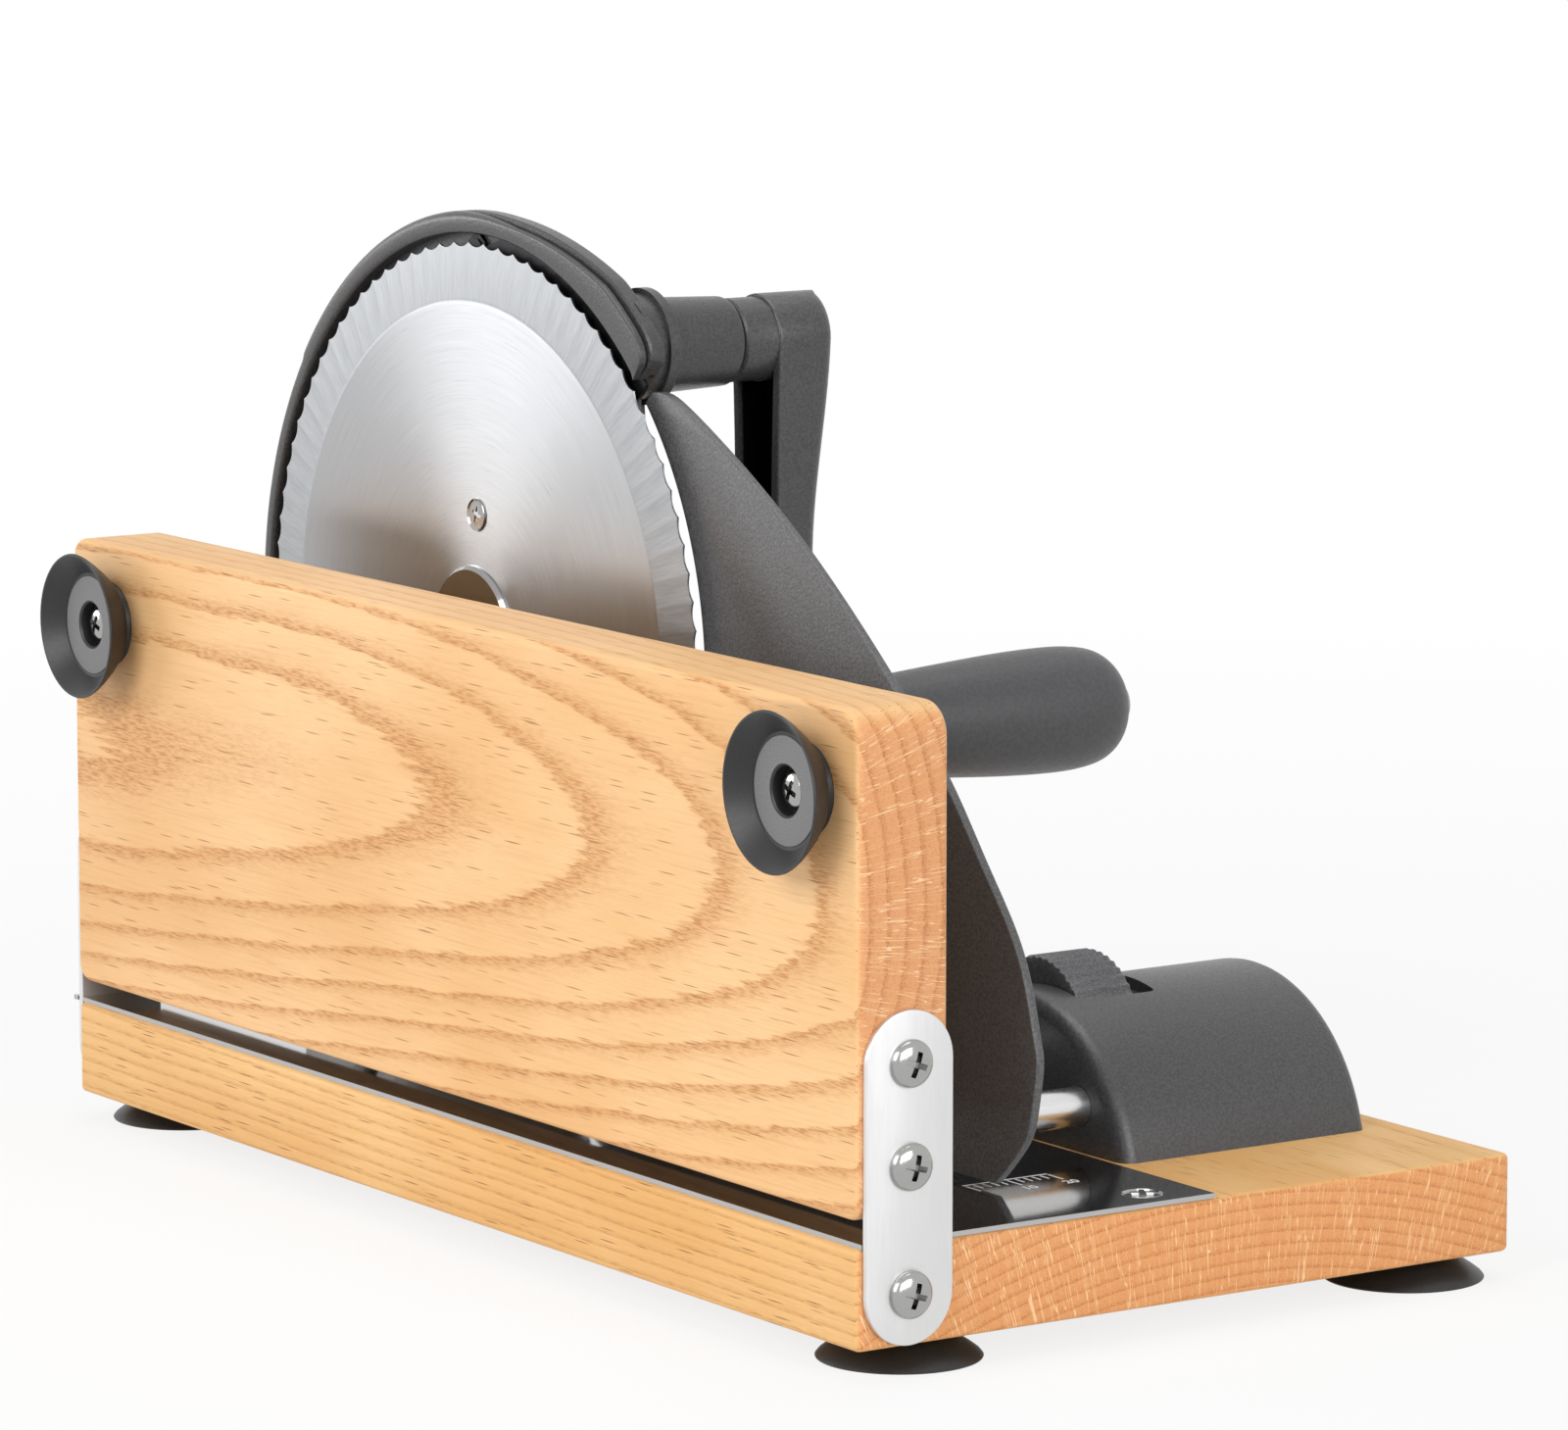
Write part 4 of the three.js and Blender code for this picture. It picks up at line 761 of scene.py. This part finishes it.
base_radii = [base.left_corner, base.right_corner, base.right_corner, base.left_corner]
base_outline = rounded_rectangle((0, 0), (base.width, base.length), base_radii, 10)
base_piece = prism("oak_base_board", "z", base_outline, 0, base.top, base.ease, base.ease)
dress(base_piece, base_oak, "base", "oak", "base_board")

for end, y in (("near", plate.screw_inset), ("far", base.length - plate.screw_inset)):
    at = (plate.screw_x, y, plate.top)
    fit_screw(flat_model, f"plate_screw_{end}", "down", at, 0.5, "base", f"slide_plate_screw_{end}")


def scale_marks():
    low = plate.top - marks.depth
    high = plate.top + marks.proud
    half = marks.width / 2 - marks.clear
    last = marks.zero + marks.step * (marks.count - 1)
    edge = marks.y - marks.width / 2
    pieces = []
    spans = [(marks.zero - half, marks.y - half, last + half, marks.y + half)]
    for index in range(marks.count):
        x = marks.zero + marks.step * index
        reach = marks.long if index % marks.long_every == 0 else marks.short
        top = edge - marks.gap - marks.clear
        spans.append((x - half, edge - marks.gap - reach + marks.clear, x + half, top))
    for x0, y0, x1, y1 in spans:
        outline = [(x0, y0), (x1, y0), (x1, y1), (x0, y1)]
        pieces.append(solid("mark", [lifted("z", outline, low), lifted("z", outline, high)]))
    return join(*pieces)


scale_piece = scale_marks()
scale_piece.name = "scale_marks"
dress(scale_piece, mark_white, "base", "polished_steel")


def numeral(text, x):
    curve = bpy.data.curves.new(f"numeral_{text}", "FONT")
    curve.body = text
    curve.size = marks.text_size * millimetre
    curve.align_x = "CENTER"
    curve.extrude = marks.proud / 2 * millimetre
    curve.offset = 0.05 * millimetre
    maker = placed("maker", curve)
    graph = bpy.context.evaluated_depsgraph_get()
    mesh = bpy.data.meshes.new_from_object(maker.evaluated_get(graph))
    bpy.data.objects.remove(maker)
    piece = placed(f"numeral_{text}", mesh)
    height = plate.top + marks.proud / 2
    place = origin + Vector((x, marks.text_y - marks.text_size * 0.35, height)) * millimetre
    mesh.transform(Matrix.Translation(place))
    return dress(piece, mark_white, "base", "polished_steel")


numeral("10", marks.zero + 5 * marks.step)
numeral("20", marks.zero + 10 * marks.step)

# Folding board, straps and their screws

board_low = (-board.end_gap, board.bottom)
board_high = (base.length + board.end_gap, board.top)
board_radii = [board.far_corner] * 3 + [board.near_corner]
board_outline = rounded_rectangle(board_low, board_high, board_radii, 10)
board_piece = prism(
    "oak_folding_board", "x", board_outline, 0, board.thickness, board.ease, board.ease, 5,
)
dress(board_piece, board_oak, "board", "oak", "folding_board")


def strap_outline():
    half = strap.half_width
    low = arc((pivot.x, pivot.z), half, 180, 360, 32)
    high = arc((pivot.x, strap.top - half), half, 0, 180, 32)
    return low + high


for end, face, sign, way in (
    ("near", -board.end_gap, 1, "away"),
    ("far", base.length + board.end_gap, -1, "near"),
):
    outer = face - sign * strap.thickness
    low, high = sorted((face, outer))
    piece = prism(f"strap_{end}", "y", strap_outline(), low, high, strap.round, strap.round, 3)
    dress(piece, strap_steel, "board", "brushed_steel", f"hinge_strap_{end}")
    for index, z in enumerate(strap.screws):
        name = f"strap_screw_{end}_{index + 1}"
        turn = (0.35, 0.25)[index]
        fit_screw(pan_model, f"domed_{name}", way, (pivot.x, outer, z), turn, "board", name)
    name = f"pivot_screw_{end}"
    at = (pivot.x, outer - sign * 0.05, pivot.z)
    fit_screw(pan_model, f"domed_{name}", way, at, 0.3, "base", name)

# Suction cups

def cup_profile(cup):
    """Up from the wood at zero to the rim."""
    height, lip = cup.height, cup.lip
    floor = height - cup.floor_deep
    outside = [(cup.back, 0), (cup.back + 0.2, -0.3), (cup.back, -cup.stem)]
    for share in (0.25, 0.5, 0.75, 0.92):
        bend = share ** 1.6
        radius = cup.back + (cup.rim - cup.back) * share
        outside.append((radius, -cup.stem - (height - cup.stem - 0.5) * (0.35 * share + 0.65 * bend)))
    inside = [(cup.rim, -height + 0.25), (cup.rim - 0.12, -height), (cup.rim - lip, -height)]
    inside += [(cup.rim - lip - 0.3, -height + 0.25)]
    inside += [(cup.floor + 1.2, -floor - 0.3 * cup.floor_deep), (cup.floor + 0.2, -floor)]
    inside += [(cup.floor - 0.5, -floor + 0.05), (cup.well + 0.3, -floor), (cup.well, -floor + 0.3)]
    inside += [(cup.well, -cup.seat), (cup.bore, -cup.seat), (cup.bore, 0)]
    return outside + inside


def suction_cup(name, sizes, way, at, body, node):
    piece = sleeve(name, "z", (0, 0), cup_profile(sizes), 72)
    put(piece, way, at)
    dress(piece, rubber_black, body, "black_rubber", node)
    floor = sizes.floor_deep - sizes.height
    near, far = sizes.well + 0.5, sizes.floor - 0.6
    disc_profile = [(far, floor + 0.15), (far, floor - 0.08), (near, floor - 0.08), (near, floor + 0.15)]
    disc = sleeve(f"{name}_disc", "z", (0, 0), disc_profile, 72)
    put(disc, way, at)
    dress(disc, rubber_grey, body, "black_rubber")


for end, y in (("near", cup.inset), ("far", base.length - cup.inset)):
    z = board.top - cup.inset
    suction_cup(f"cup_{end}", cup, "right", (0, y, z), "board", f"board_cup_{end}")
    at = (-cup.seat, y, z)
    fit_screw(small_model, f"cup_screw_{end}", "right", at, 0.4, "board", f"board_cup_screw_{end}")

foot_across = (foot_cup.left, base.width - foot_cup.right_inset)
foot_along = (foot_cup.near, base.length - foot_cup.far_inset)
for index, (x, y) in enumerate((x, y) for y in foot_along for x in foot_across):
    number = index + 1
    suction_cup(f"foot_{number}", foot_cup, "up", (x, y, 0), "base", f"foot_cup_{number}")
    at = (x, y, -foot_cup.seat)
    fit_screw(small_model, f"foot_screw_{number}", "up", at, 0.2 * index, "base", f"foot_cup_screw_{number}")

# Blade and hub

blade_centre = (blade.y, blade.z)


def toothed_ring(along, depth):
    """The blade's edge: hollows between narrow crests."""
    outline = []
    count = blade.teeth * blade.tooth_points
    for index in range(count):
        u = 2 * ((index / blade.tooth_points) % 1) - 1
        hollow = (1 - u * u) * blade.tooth * 0.9
        outline.append(spot(blade_centre, blade.radius - depth - hollow, 2 * math.pi * index / count))
    return lifted("x", outline, along)


def blade_disc():
    count = blade.teeth * blade.tooth_points
    inner = blade.radius - blade.bevel
    rings = [
        circle_ring("x", blade_centre, inner, blade.back, count),
        toothed_ring(blade.back, blade.burr),
        toothed_ring(blade.back - blade.burr_deep, 0),
        toothed_ring(blade.front + blade.bevel_deep, blade.land),
    ]
    soft = blade.soft
    flat = [(inner + soft, 0.055), (inner, 0.018), (inner - soft, 0), (inner - 2 * soft, 0)]
    for radius, deep in [*flat, (hub.cap * 2, 0)]:
        rings.append(circle_ring("x", blade_centre, radius, blade.front + deep, count))
    return solid("blade_disc", rings)


dress(blade_disc(), blade_steel, "blade", "brushed_steel", "blade", sharp=24)

for index in range(blade_screws.count):
    degrees = 90 + math.degrees(blade_screws.turn) + 360 * index / blade_screws.count
    y, z = polar(blade_centre, blade_screws.circle, degrees)
    at = (blade.front - blade.screw_sink, y, z)
    number = index + 1
    fit_screw(blade_model, f"hub_screw_{number}", "right", at, 0.3 + index, "blade", f"blade_screw_{number}")

cap_front = hub.cap_front
cap_back = blade.front - blade.hub_gap
cap_profile = [(0, cap_front), (hub.cap - hub.chamfer, cap_front)]
cap_profile += [(hub.cap, cap_front + hub.chamfer), (hub.cap, cap_back), (0, cap_back)]
cap_piece = turned("hub_cover", "x", blade_centre, cap_profile, 96)
dress(cap_piece, hub_steel, "blade", "polished_steel", "hub_cap", sharp=20)

# Blade guard: the rim

def rim_outer(degrees):
    """The rim's outer radius, before its tip rounds off."""
    low = rim.outer - rim.step_size
    rise = held((degrees - rim.step) / rim.step_soft + 0.5)
    radius = low + (rim.outer - low) * rise * rise * (3 - 2 * rise)
    swell = held((degrees - rim.bulge_start) / (rim.bulge_full - rim.bulge_start))
    return radius + (rim.bulge - rim.outer) * (0.35 * swell + 0.65 * swell ** 2)


def rim_stations():
    """Pairs of an inner and an outer point along the rim, which meet at its tip."""
    stations = []
    count = 260
    for index in range(count + 1):
        degrees = rim.start + (rim.tip - rim.start) * index / count
        inner = polar(blade_centre, rim.inner, degrees)
        outer = polar(blade_centre, rim_outer(degrees), degrees)
        stations.append((inner, outer, degrees))
    corner = polar(blade_centre, rim.bulge, rim.tip)
    control = polar(blade_centre, rim.bulge, rim.end - 0.6)
    side = polar(blade_centre, (rim.bulge + rim.inner) / 2 + 1, rim.end)
    end = polar(blade_centre, rim.inner + 0.6, rim.end)
    for index in range(1, 17):
        t = index / 16
        u = t * 1.5
        if u < 1:
            outer = tuple(
                (1 - u) ** 2 * a + 2 * u * (1 - u) * b + u * u * c
                for a, b, c in zip(corner, control, side)
            )
        else:
            share = min((u - 1) / 0.5, 1)
            outer = tuple(a + (b - a) * share for a, b in zip(side, end))
        degrees = rim.tip + (rim.end - rim.tip) * t
        inner = polar(blade_centre, rim.inner, degrees)
        stations.append((inner, outer, degrees))
    return stations


def rim_section(inner, outer, degrees):
    """A closed section, from the inner edge's back round the front lip to the outer edge's back."""
    width = math.dist(inner, outer)
    scale = min(1, width / 5)
    share = held((degrees - rim.groove_start) / (rim.groove_full - rim.groove_start))
    front, back = rim.front, rim.back
    inner_round = rim.inner_round * scale
    front_round = (rim.front_round * (1 - share) + 0.5 * share) * scale
    lip = rim.lip_inset * share * scale
    groove = rim.groove * share * scale
    deep = rim.groove_deep * share * scale
    lip_back = front + rim.lip_deep + (1 - share) * 1.2
    points = [(0, back)]
    points += [(along, front + deep) for along, deep in rounding(inner_round, 4)]
    points += [(width - lip - along, front + deep) for deep, along in rounding(front_round, 6)]
    points.append((width - lip, lip_back))
    points.append((width - lip - deep, lip_back + 0.02))
    points.append((width - lip - deep, lip_back + 0.02 + groove))
    points.append((width - 0.4 * share * scale, lip_back + 0.04 + groove))
    points.append((width, lip_back + 0.05 + groove + 0.4 * share))
    points += rounded_edge(width, back, rim.back_round * scale, 3)
    direction = (Vector(outer) - Vector(inner)) / max(width, 0.0001)
    return [(x, inner[0] + direction.x * r, inner[1] + direction.y * r) for r, x in points]


rim_piece = solid("guard_rim", [rim_section(*station) for station in rim_stations()])

# Blade guard: web, gear case, pillar, foot and bearing tube

def web_outline():
    bottom = plate.top + web.lift
    points = [(pillar.near + 1, bottom), (pillar.far - 1, bottom)]
    points += arc(blade_centre, web.outer, 0, rim.end, 90)
    points.append(polar(blade_centre, web.tip, rim.end))
    edge = [points[-1]] + [
        (blade.y + y * rim.inner, blade.z + z * rim.inner) for y, z in web_shares
    ]
    points += smooth_through(edge, 50)[1:]
    return points


web_piece = prism("guard_body", "x", web_outline(), web.front, web.back, 0, web.round, 3)
for y, z, radius in case.circles:
    profile = [(0, case.front + 0.1), (radius, case.front + 0.1), (radius, case.back - case.round)]
    profile += rounded_edge(radius, case.back, case.round, 6, 1) + [(0, case.back)]
    join(web_piece, turned("case", "x", (y, z), profile, 96))

pillar_outline = [
    (pillar.near, plate.top + 1), (pillar.far, plate.top + 1),
    (pillar.far, pillar.top_far), (pillar.near, pillar.top),
]
join(web_piece, prism("pillar", "x", pillar_outline, pillar.front, pillar.back, 0.6, pillar.round))
foot_radii = [foot.corner] * 4
foot_outline = rounded_rectangle((foot.front, foot.near), (foot.back, foot.far), foot_radii)
foot_top = plate.top + foot.thickness
join(web_piece, prism("foot", "z", foot_outline, plate.top, foot_top, 0, foot.round))

tube_centre = (crank_axis.y, crank_axis.z)
tube_profile = [(0, tube.start), (tube.root + tube.fillet, tube.start)]
tube_profile += [(tube.root + tube.fillet, case.back - 0.02)]
fillet = rounding(tube.fillet, 6, 1)
tube_profile += [(tube.root + outward, case.back + up) for up, outward in fillet]
tube_profile += rounded_edge(tube.end, tube.mouth, tube.round, 6) + [(0, tube.mouth)]
join(web_piece, turned("tube", "x", tube_centre, tube_profile, 96))
dress(web_piece, casting_black, "base", "black_coating", "blade_guard", sharp=28)
dress(rim_piece, casting_black, "base", "black_coating", "guard_lip", "blade_guard", sharp=38)

for index, (x, y) in enumerate(foot.screws):
    name = f"guard_foot_screw_{index + 1}"
    fit_screw(small_model, f"domed_{name}", "down", (x, y, foot_top), 0.4, "base", name)

# Crank arm, grip and rivet

grip_centre = (crank_axis.y, crank_axis.z - arm.length)


def arm_width(drop):
    """Half the arm's width, at a distance below the crank's axis."""
    length = arm.length
    if drop < 0:
        return math.sqrt(max(arm.top ** 2 - drop ** 2, 0.01))
    if drop > length:
        return math.sqrt(max(arm.end ** 2 - (drop - length) ** 2, 0.01))
    share = drop / length
    if share < 0.5:
        t = share * 2
        return arm.top + (arm.waist - arm.top) * (1 - (1 - t) ** 2)
    t = share * 2 - 1
    return arm.waist + (arm.end - arm.waist) * t * t


def arm_back(drop):
    """Where the arm's outer face is: it leans in below the hub, and out again at the grip."""
    waist = arm.waist_share * arm.length
    share = held(drop / waist)
    soft = share * share * (3 - 2 * share)
    lower = held((drop - waist) / (arm.length - waist))
    lean = (arm.waist_back - arm.top_back) * soft
    return arm.top_back + lean + (arm.back - arm.waist_back) * lower


def arm_section(drop, margin, front, back, outer_round, inner_round):
    half = max(arm_width(drop) - margin, 0.05)
    y = crank_axis.y
    outer = min(outer_round, half * 0.95)
    inner = min(inner_round, half * 0.9)
    outline = rounded_rectangle((front, y - half), (back, y + half), [inner, outer, outer, inner], 5)
    return lifted("z", outline, crank_axis.z - drop)


def arm_drops(low, high, end_low, end_high):
    """Places along the arm, closer together at its round ends."""
    places = [-end_low * math.cos(math.pi / 2 * index / 12) for index in range(13)]
    places += [low + (high - low) * index / 25 for index in range(1, 25)]
    return places + [high + end_high * math.sin(math.pi / 2 * index / 12) for index in range(13)]


def crank_arm():
    drops = arm_drops(0, arm.length, arm.top, arm.end)
    rings = [
        arm_section(drop, 0, arm.front, arm_back(drop), arm.outer_round, arm.inner_round)
        for drop in drops
    ]
    body = solid("crank_lever", rings)
    profile = [(0, arm.hub_front), (arm.hub - 0.5, arm.hub_front), (arm.hub, arm.hub_front + 0.5)]
    profile += [(arm.hub, arm.front), (arm.top, arm.front + 3)]
    profile += rounded_edge(arm.top, arm.top_back, arm.top_round, 8) + [(0, arm.top_back)]
    join(body, turned("hub", "x", tube_centre, profile, 72))
    floor = arm.back - arm.floor
    reach = arm.wall
    tool_rings = [
        arm_section(drop, reach, arm.front - 3, floor, 1.2, 0.1)
        for drop in arm_drops(0, arm.length, arm.top - reach, arm.end - reach)
    ]
    tool = solid("tool", tool_rings)
    for at, radius in ((tube_centre, arm.hub + 0.2), (grip_centre, arm.boss)):
        front = arm.hub_front - 1
        profile = [(0, front), (radius, front), (radius, arm.back), (0, arm.back)]
        carve(tool, turned("boss", "x", at, profile, 48))
    return carve(body, tool)


dress(crank_arm(), crank_black_with_painted_shade, "crank", "black_coating", "crank_arm", sharp=35)


def grip_profile():
    start = grip.start
    points = [(radius * grip.radius, start + along * grip.length) for radius, along in grip_shares]
    curve = smooth_through(points, 54)
    first = grip_shares[0][0] * grip.radius
    curve = [(grip.bore, start), (first - 0.8, start), (first - 0.2, start + 0.3)] + curve[1:]
    curve.append((grip.bore, start + grip.length))
    return curve


grip_piece = sleeve("grip_handle", "x", grip_centre, grip_profile(), 96)
dress(grip_piece, grip_black, "grip", "black_plastic", "crank_grip", sharp=50)


def rivet_piece():
    end = grip.start + grip.length + 0.1
    top = end + rivet.height
    seat = arm.front - 0.01
    profile = [(0, arm.front - 1), (rivet.head, arm.front - 1), (rivet.head, seat)]
    profile += [(rivet.shank, seat), (rivet.shank, end), (rivet.head, end)]
    profile += rounded_edge(rivet.head, top, rivet.edge, 5) + [(0, top)]
    return turned("grip_pin", "x", grip_centre, profile, 64)


dress(rivet_piece(), screw_steel, "grip", "plain_steel", "grip_rivet")

# Stop plate, rods, lead screw and thumbwheel

def stop_outline():
    length = stop.tip - stop.near
    height = stop.top - stop.bottom
    outer = [(stop.near + y * length, stop.bottom + z * height) for y, z in stop_shares]
    curve = smooth_through(outer, 110)
    inner_start = math.degrees(math.atan2(stop.top - blade.z, stop.tip - blade.y))
    inner_end = -180 + math.degrees(math.acos((blade.y - stop.rear) / stop.inner)) + 360
    inner_edge = arc(blade_centre, stop.inner, inner_start, inner_end, 80)
    return [(stop.rear, stop.bottom)] + curve + inner_edge


stop_piece = prism(
    "stop_sheet", "x", stop_outline(), stop.front, stop.back, stop.round, stop.round, 3,
)
dress(stop_piece, sheet_black, "stop", "black_coating", "stop_plate")

chamfer = rods.chamfer
for index, y in enumerate(rods.places):
    profile = [(0, rods.front), (rods.radius - chamfer, rods.front)]
    profile += [(rods.radius, rods.front + chamfer), (rods.radius, rods.back - chamfer)]
    profile += [(rods.radius - chamfer, rods.back), (0, rods.back)]
    piece = turned(f"slide_rod_{index + 1}", "x", (y, rods.z), profile, 64)
    dress(piece, rod_steel, "stop", "plain_steel", f"guide_rod_{index + 1}")


screw_centre = (screw.y, screw.z)


def lead_screw():
    rings = []
    length = screw.back - screw.front
    rows = int(length / screw.row)
    for row in range(rows + 1):
        along = screw.front + length * row / rows
        ring = []
        for angle in round_angles(40):
            phase = screw.starts * (angle - 2 * math.pi * along / screw.lead)
            radius = screw.radius - screw.thread * (0.5 - 0.5 * math.cos(phase))
            ring.append((along, *spot(screw_centre, radius, angle)))
        rings.append(ring)
    return solid("threaded_rod", rings)


dress(lead_screw(), rod_steel, "stop", "plain_steel", "lead_screw", sharp=60)


def thumbwheel():
    count = wheel.ridges * 8
    edge = wheel.edge
    bore = screw.radius + 0.1
    flat = wheel.radius - wheel.dish

    def plain(radius, along):
        return circle_ring("x", screw_centre, radius, along, count)

    def ridged(along, margin, depth):
        ring = []
        for angle in round_angles(count):
            wave = 0.5 - 0.5 * math.cos(wheel.ridges * angle)
            radius = wheel.radius - margin - depth * wave ** 0.7
            ring.append((along, *spot(screw_centre, radius, angle)))
        return ring

    def side(boss_end, face, inward):
        """From the bore at a boss's end out to the ridges, which fade towards the face."""
        return [
            plain(bore, boss_end),
            plain(wheel.boss, boss_end),
            plain(wheel.boss, face),
            plain(flat, face),
            ridged(face, edge, 0.2),
            ridged(face + inward * edge * 0.3, edge * 0.3, 0.4),
            ridged(face + inward * edge, 0, wheel.ridge),
        ]

    rings = side(wheel.boss_front, wheel.front, 1)
    rings += side(wheel.boss_back, wheel.back, -1)[::-1]
    return solid("ridged_wheel", [*rings, rings[0]], capped=False)


dress(thumbwheel(), wheel_black, "wheel", "black_plastic", "thumbwheel", sharp=40)

# Adjuster housing

barrel_centre = (barrel.y, barrel.z)


def barrel_start(radius):
    """Where a circle about the barrel's axis meets the wood, in degrees."""
    return math.degrees(math.asin((barrel.bottom - barrel.z) / radius))


def housing_room():
    """The hollow inside the housing, a little longer at the bottom than the wood is deep."""
    wall = barrel.wall
    radius = barrel.radius - wall
    start = barrel_start(radius)
    points = arc(barrel_centre, radius, start, 180 - start, 96)
    bottom = barrel.bottom - 1
    outline = [(points[0][0], bottom)] + points + [(points[-1][0], bottom)]
    return prism("tool", "x", outline, barrel.front + wall, barrel.back - wall)


def housing():
    radius = barrel.radius
    start = barrel_start(radius)

    def ring(along, margin):
        points = arc(barrel_centre, radius - margin, start, 180 - start, 96)
        points = [(y, max(z, barrel.bottom)) for y, z in points]
        points[0] = (points[0][0], barrel.bottom)
        points[-1] = (points[-1][0], barrel.bottom)
        return lifted("x", points, along)

    edges = rounding(barrel.round, 6)
    rings = [ring(barrel.front + deep, margin) for margin, deep in edges[::-1]]
    rings += [ring(barrel.back - deep, margin) for margin, deep in edges]
    shell = solid("housing_shell", rings)
    mouth_low = (slot.front, screw.y - slot.near)
    mouth_high = (slot.back, screw.y + slot.far)
    mouth_outline = rounded_rectangle(mouth_low, mouth_high, [slot.corner] * 4, 4)
    mouth = prism("tool", "z", mouth_outline, screw.z - screw.radius, barrel.z + radius + 2)
    hole = rods.radius + barrel.hole_slack
    outside, inside = barrel.front - 1, barrel.front + barrel.wall + 1
    profile = [(0, outside), (hole, outside), (hole, inside), (0, inside)]
    centres = [*((y, rods.z) for y in rods.places), screw_centre]
    holes = [turned("hole", "x", centre, profile, 48) for centre in centres]
    return carve(shell, housing_room(), mouth, *holes)


dress(housing(), housing_black, "base", "black_plastic", "adjuster_housing", sharp=30)

for model in (pan_model, small_model, flat_model, blade_model):
    bpy.data.objects.remove(model)

# CAD nodes that stay as they are get a procedural material each

kept = {
    "slide_plate": plate_steel, "gear_cover": blackened_steel, "gear_cover_rivet_1": blackened_steel,
    "gear_cover_rivet_2": blackened_steel, "blade_hub": hidden_steel, "blade_gear": gear_nylon,
    "blade_axle": screw_steel, "idler_gear": gear_nylon,
    "idler_pin": screw_steel, "crank_gear": hidden_steel, "crank_shaft": hidden_steel,
    "crank_bush": bush_bronze, "crank_screw": screw_steel, "stop_carrier": casting_black,
    "housing_screw_1": screw_steel, "housing_screw_2": screw_steel, "guide_bracket": hidden_steel,
    "bracket_screw": screw_steel,
}
for name, look in kept.items():
    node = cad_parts[name]
    if not node.data.materials:
        node.data.materials.append(look)
    for slot_place in node.material_slots:
        slot_place.material = look

# Floor, light and camera

def seen_directly(tree):
    """One for the rays of the camera, of mirrors and of glass, in a node tree."""
    path = tree.nodes.new("ShaderNodeLightPath")
    seen = path.outputs["Is Camera Ray"]
    for kind in ("Is Glossy Ray", "Is Transmission Ray"):
        either = tree.nodes.new("ShaderNodeMath")
        either.operation = "MAXIMUM"
        tree.links.new(seen, either.inputs[0])
        tree.links.new(path.outputs[kind], either.inputs[1])
        seen = either.outputs[0]
    return seen


def floor_look():
    """A pale floor that the camera, mirrors and glass see as nearly white."""
    look = Look("floor_white", roughness=0.8)
    look.colour((0.82, 0.82, 0.82))
    distance = look.vector("LENGTH", look.node("ShaderNodeTexCoord").outputs["Object"])
    share = look.times(seen_directly(look.tree), look.between(distance, 0.25, 0.9, 0.82, 1))
    glow = look.node("ShaderNodeEmission", (1, 1, 1), 1.0)
    both = look.node("ShaderNodeMixShader", share, look.shader.outputs[0], glow.outputs[0])
    output = look.tree.nodes["Material Output"]
    look.tree.links.new(both.outputs[0], output.inputs["Surface"])
    return look.material


floor_radius = 9.0
floor_mesh = bpy.data.meshes.new("floor")
floor_points = [(*spot((0, 0), floor_radius, angle), 0) for angle in round_angles(64)]
floor_mesh.from_pydata(floor_points, [], [tuple(range(64))])
floor_mesh.materials.append(floor_look())
floor = placed("floor", floor_mesh)
floor.location.z = -foot_cup.height * millimetre

world = bpy.data.worlds.new("studio")
world.use_nodes = True
bpy.context.scene.world = world
background = world.node_tree.nodes["Background"]
background.inputs["Color"].default_value = (1, 1, 1, 1)
level = world.node_tree.nodes.new("ShaderNodeMapRange")
level.inputs["To Min"].default_value = 0.22
level.inputs["To Max"].default_value = 1.0
world.node_tree.links.new(seen_directly(world.node_tree), level.inputs["Value"])
world.node_tree.links.new(level.outputs[0], background.inputs["Strength"])


def soft_lamp(name, at, size, power):
    """A square lamp, in metres and watts, that faces the middle of the part."""
    data = bpy.data.lights.new(name, "AREA")
    data.shape = "RECTANGLE"
    data.size, data.size_y = size
    data.energy = power
    lamp = placed(name, data)
    lamp.location = at
    target = Vector((0, 0, 0.08))
    lamp.rotation_euler = (target - lamp.location).to_track_quat("-Z", "Y").to_euler()


soft_lamp("lamp_left", (-1.9, -0.5, 1.1), (1.4, 1.2), 25)
soft_lamp("lamp_front", (-0.1, -2.0, 0.8), (1.6, 1.0), 22)
soft_lamp("lamp_back", (-1.35, 1.95, 0.6), (1.3, 0.8), 15)
soft_lamp("lamp_top", (0.1, 0.2, 1.9), (1.2, 1.2), 13)

camera_data = bpy.data.cameras.new("camera")
camera_data.lens = 181.56
camera_data.sensor_width = 36
camera_data.sensor_fit = "HORIZONTAL"
camera_data.clip_end = 40
camera = placed("camera", camera_data)
camera.location = (-0.9133, -1.3616, 0.3490)
camera.rotation_euler = (math.radians(90 - 8.747), 0, math.radians(-34.019))
bpy.context.scene.camera = camera
bpy.context.scene.view_settings.view_transform = "Standard"
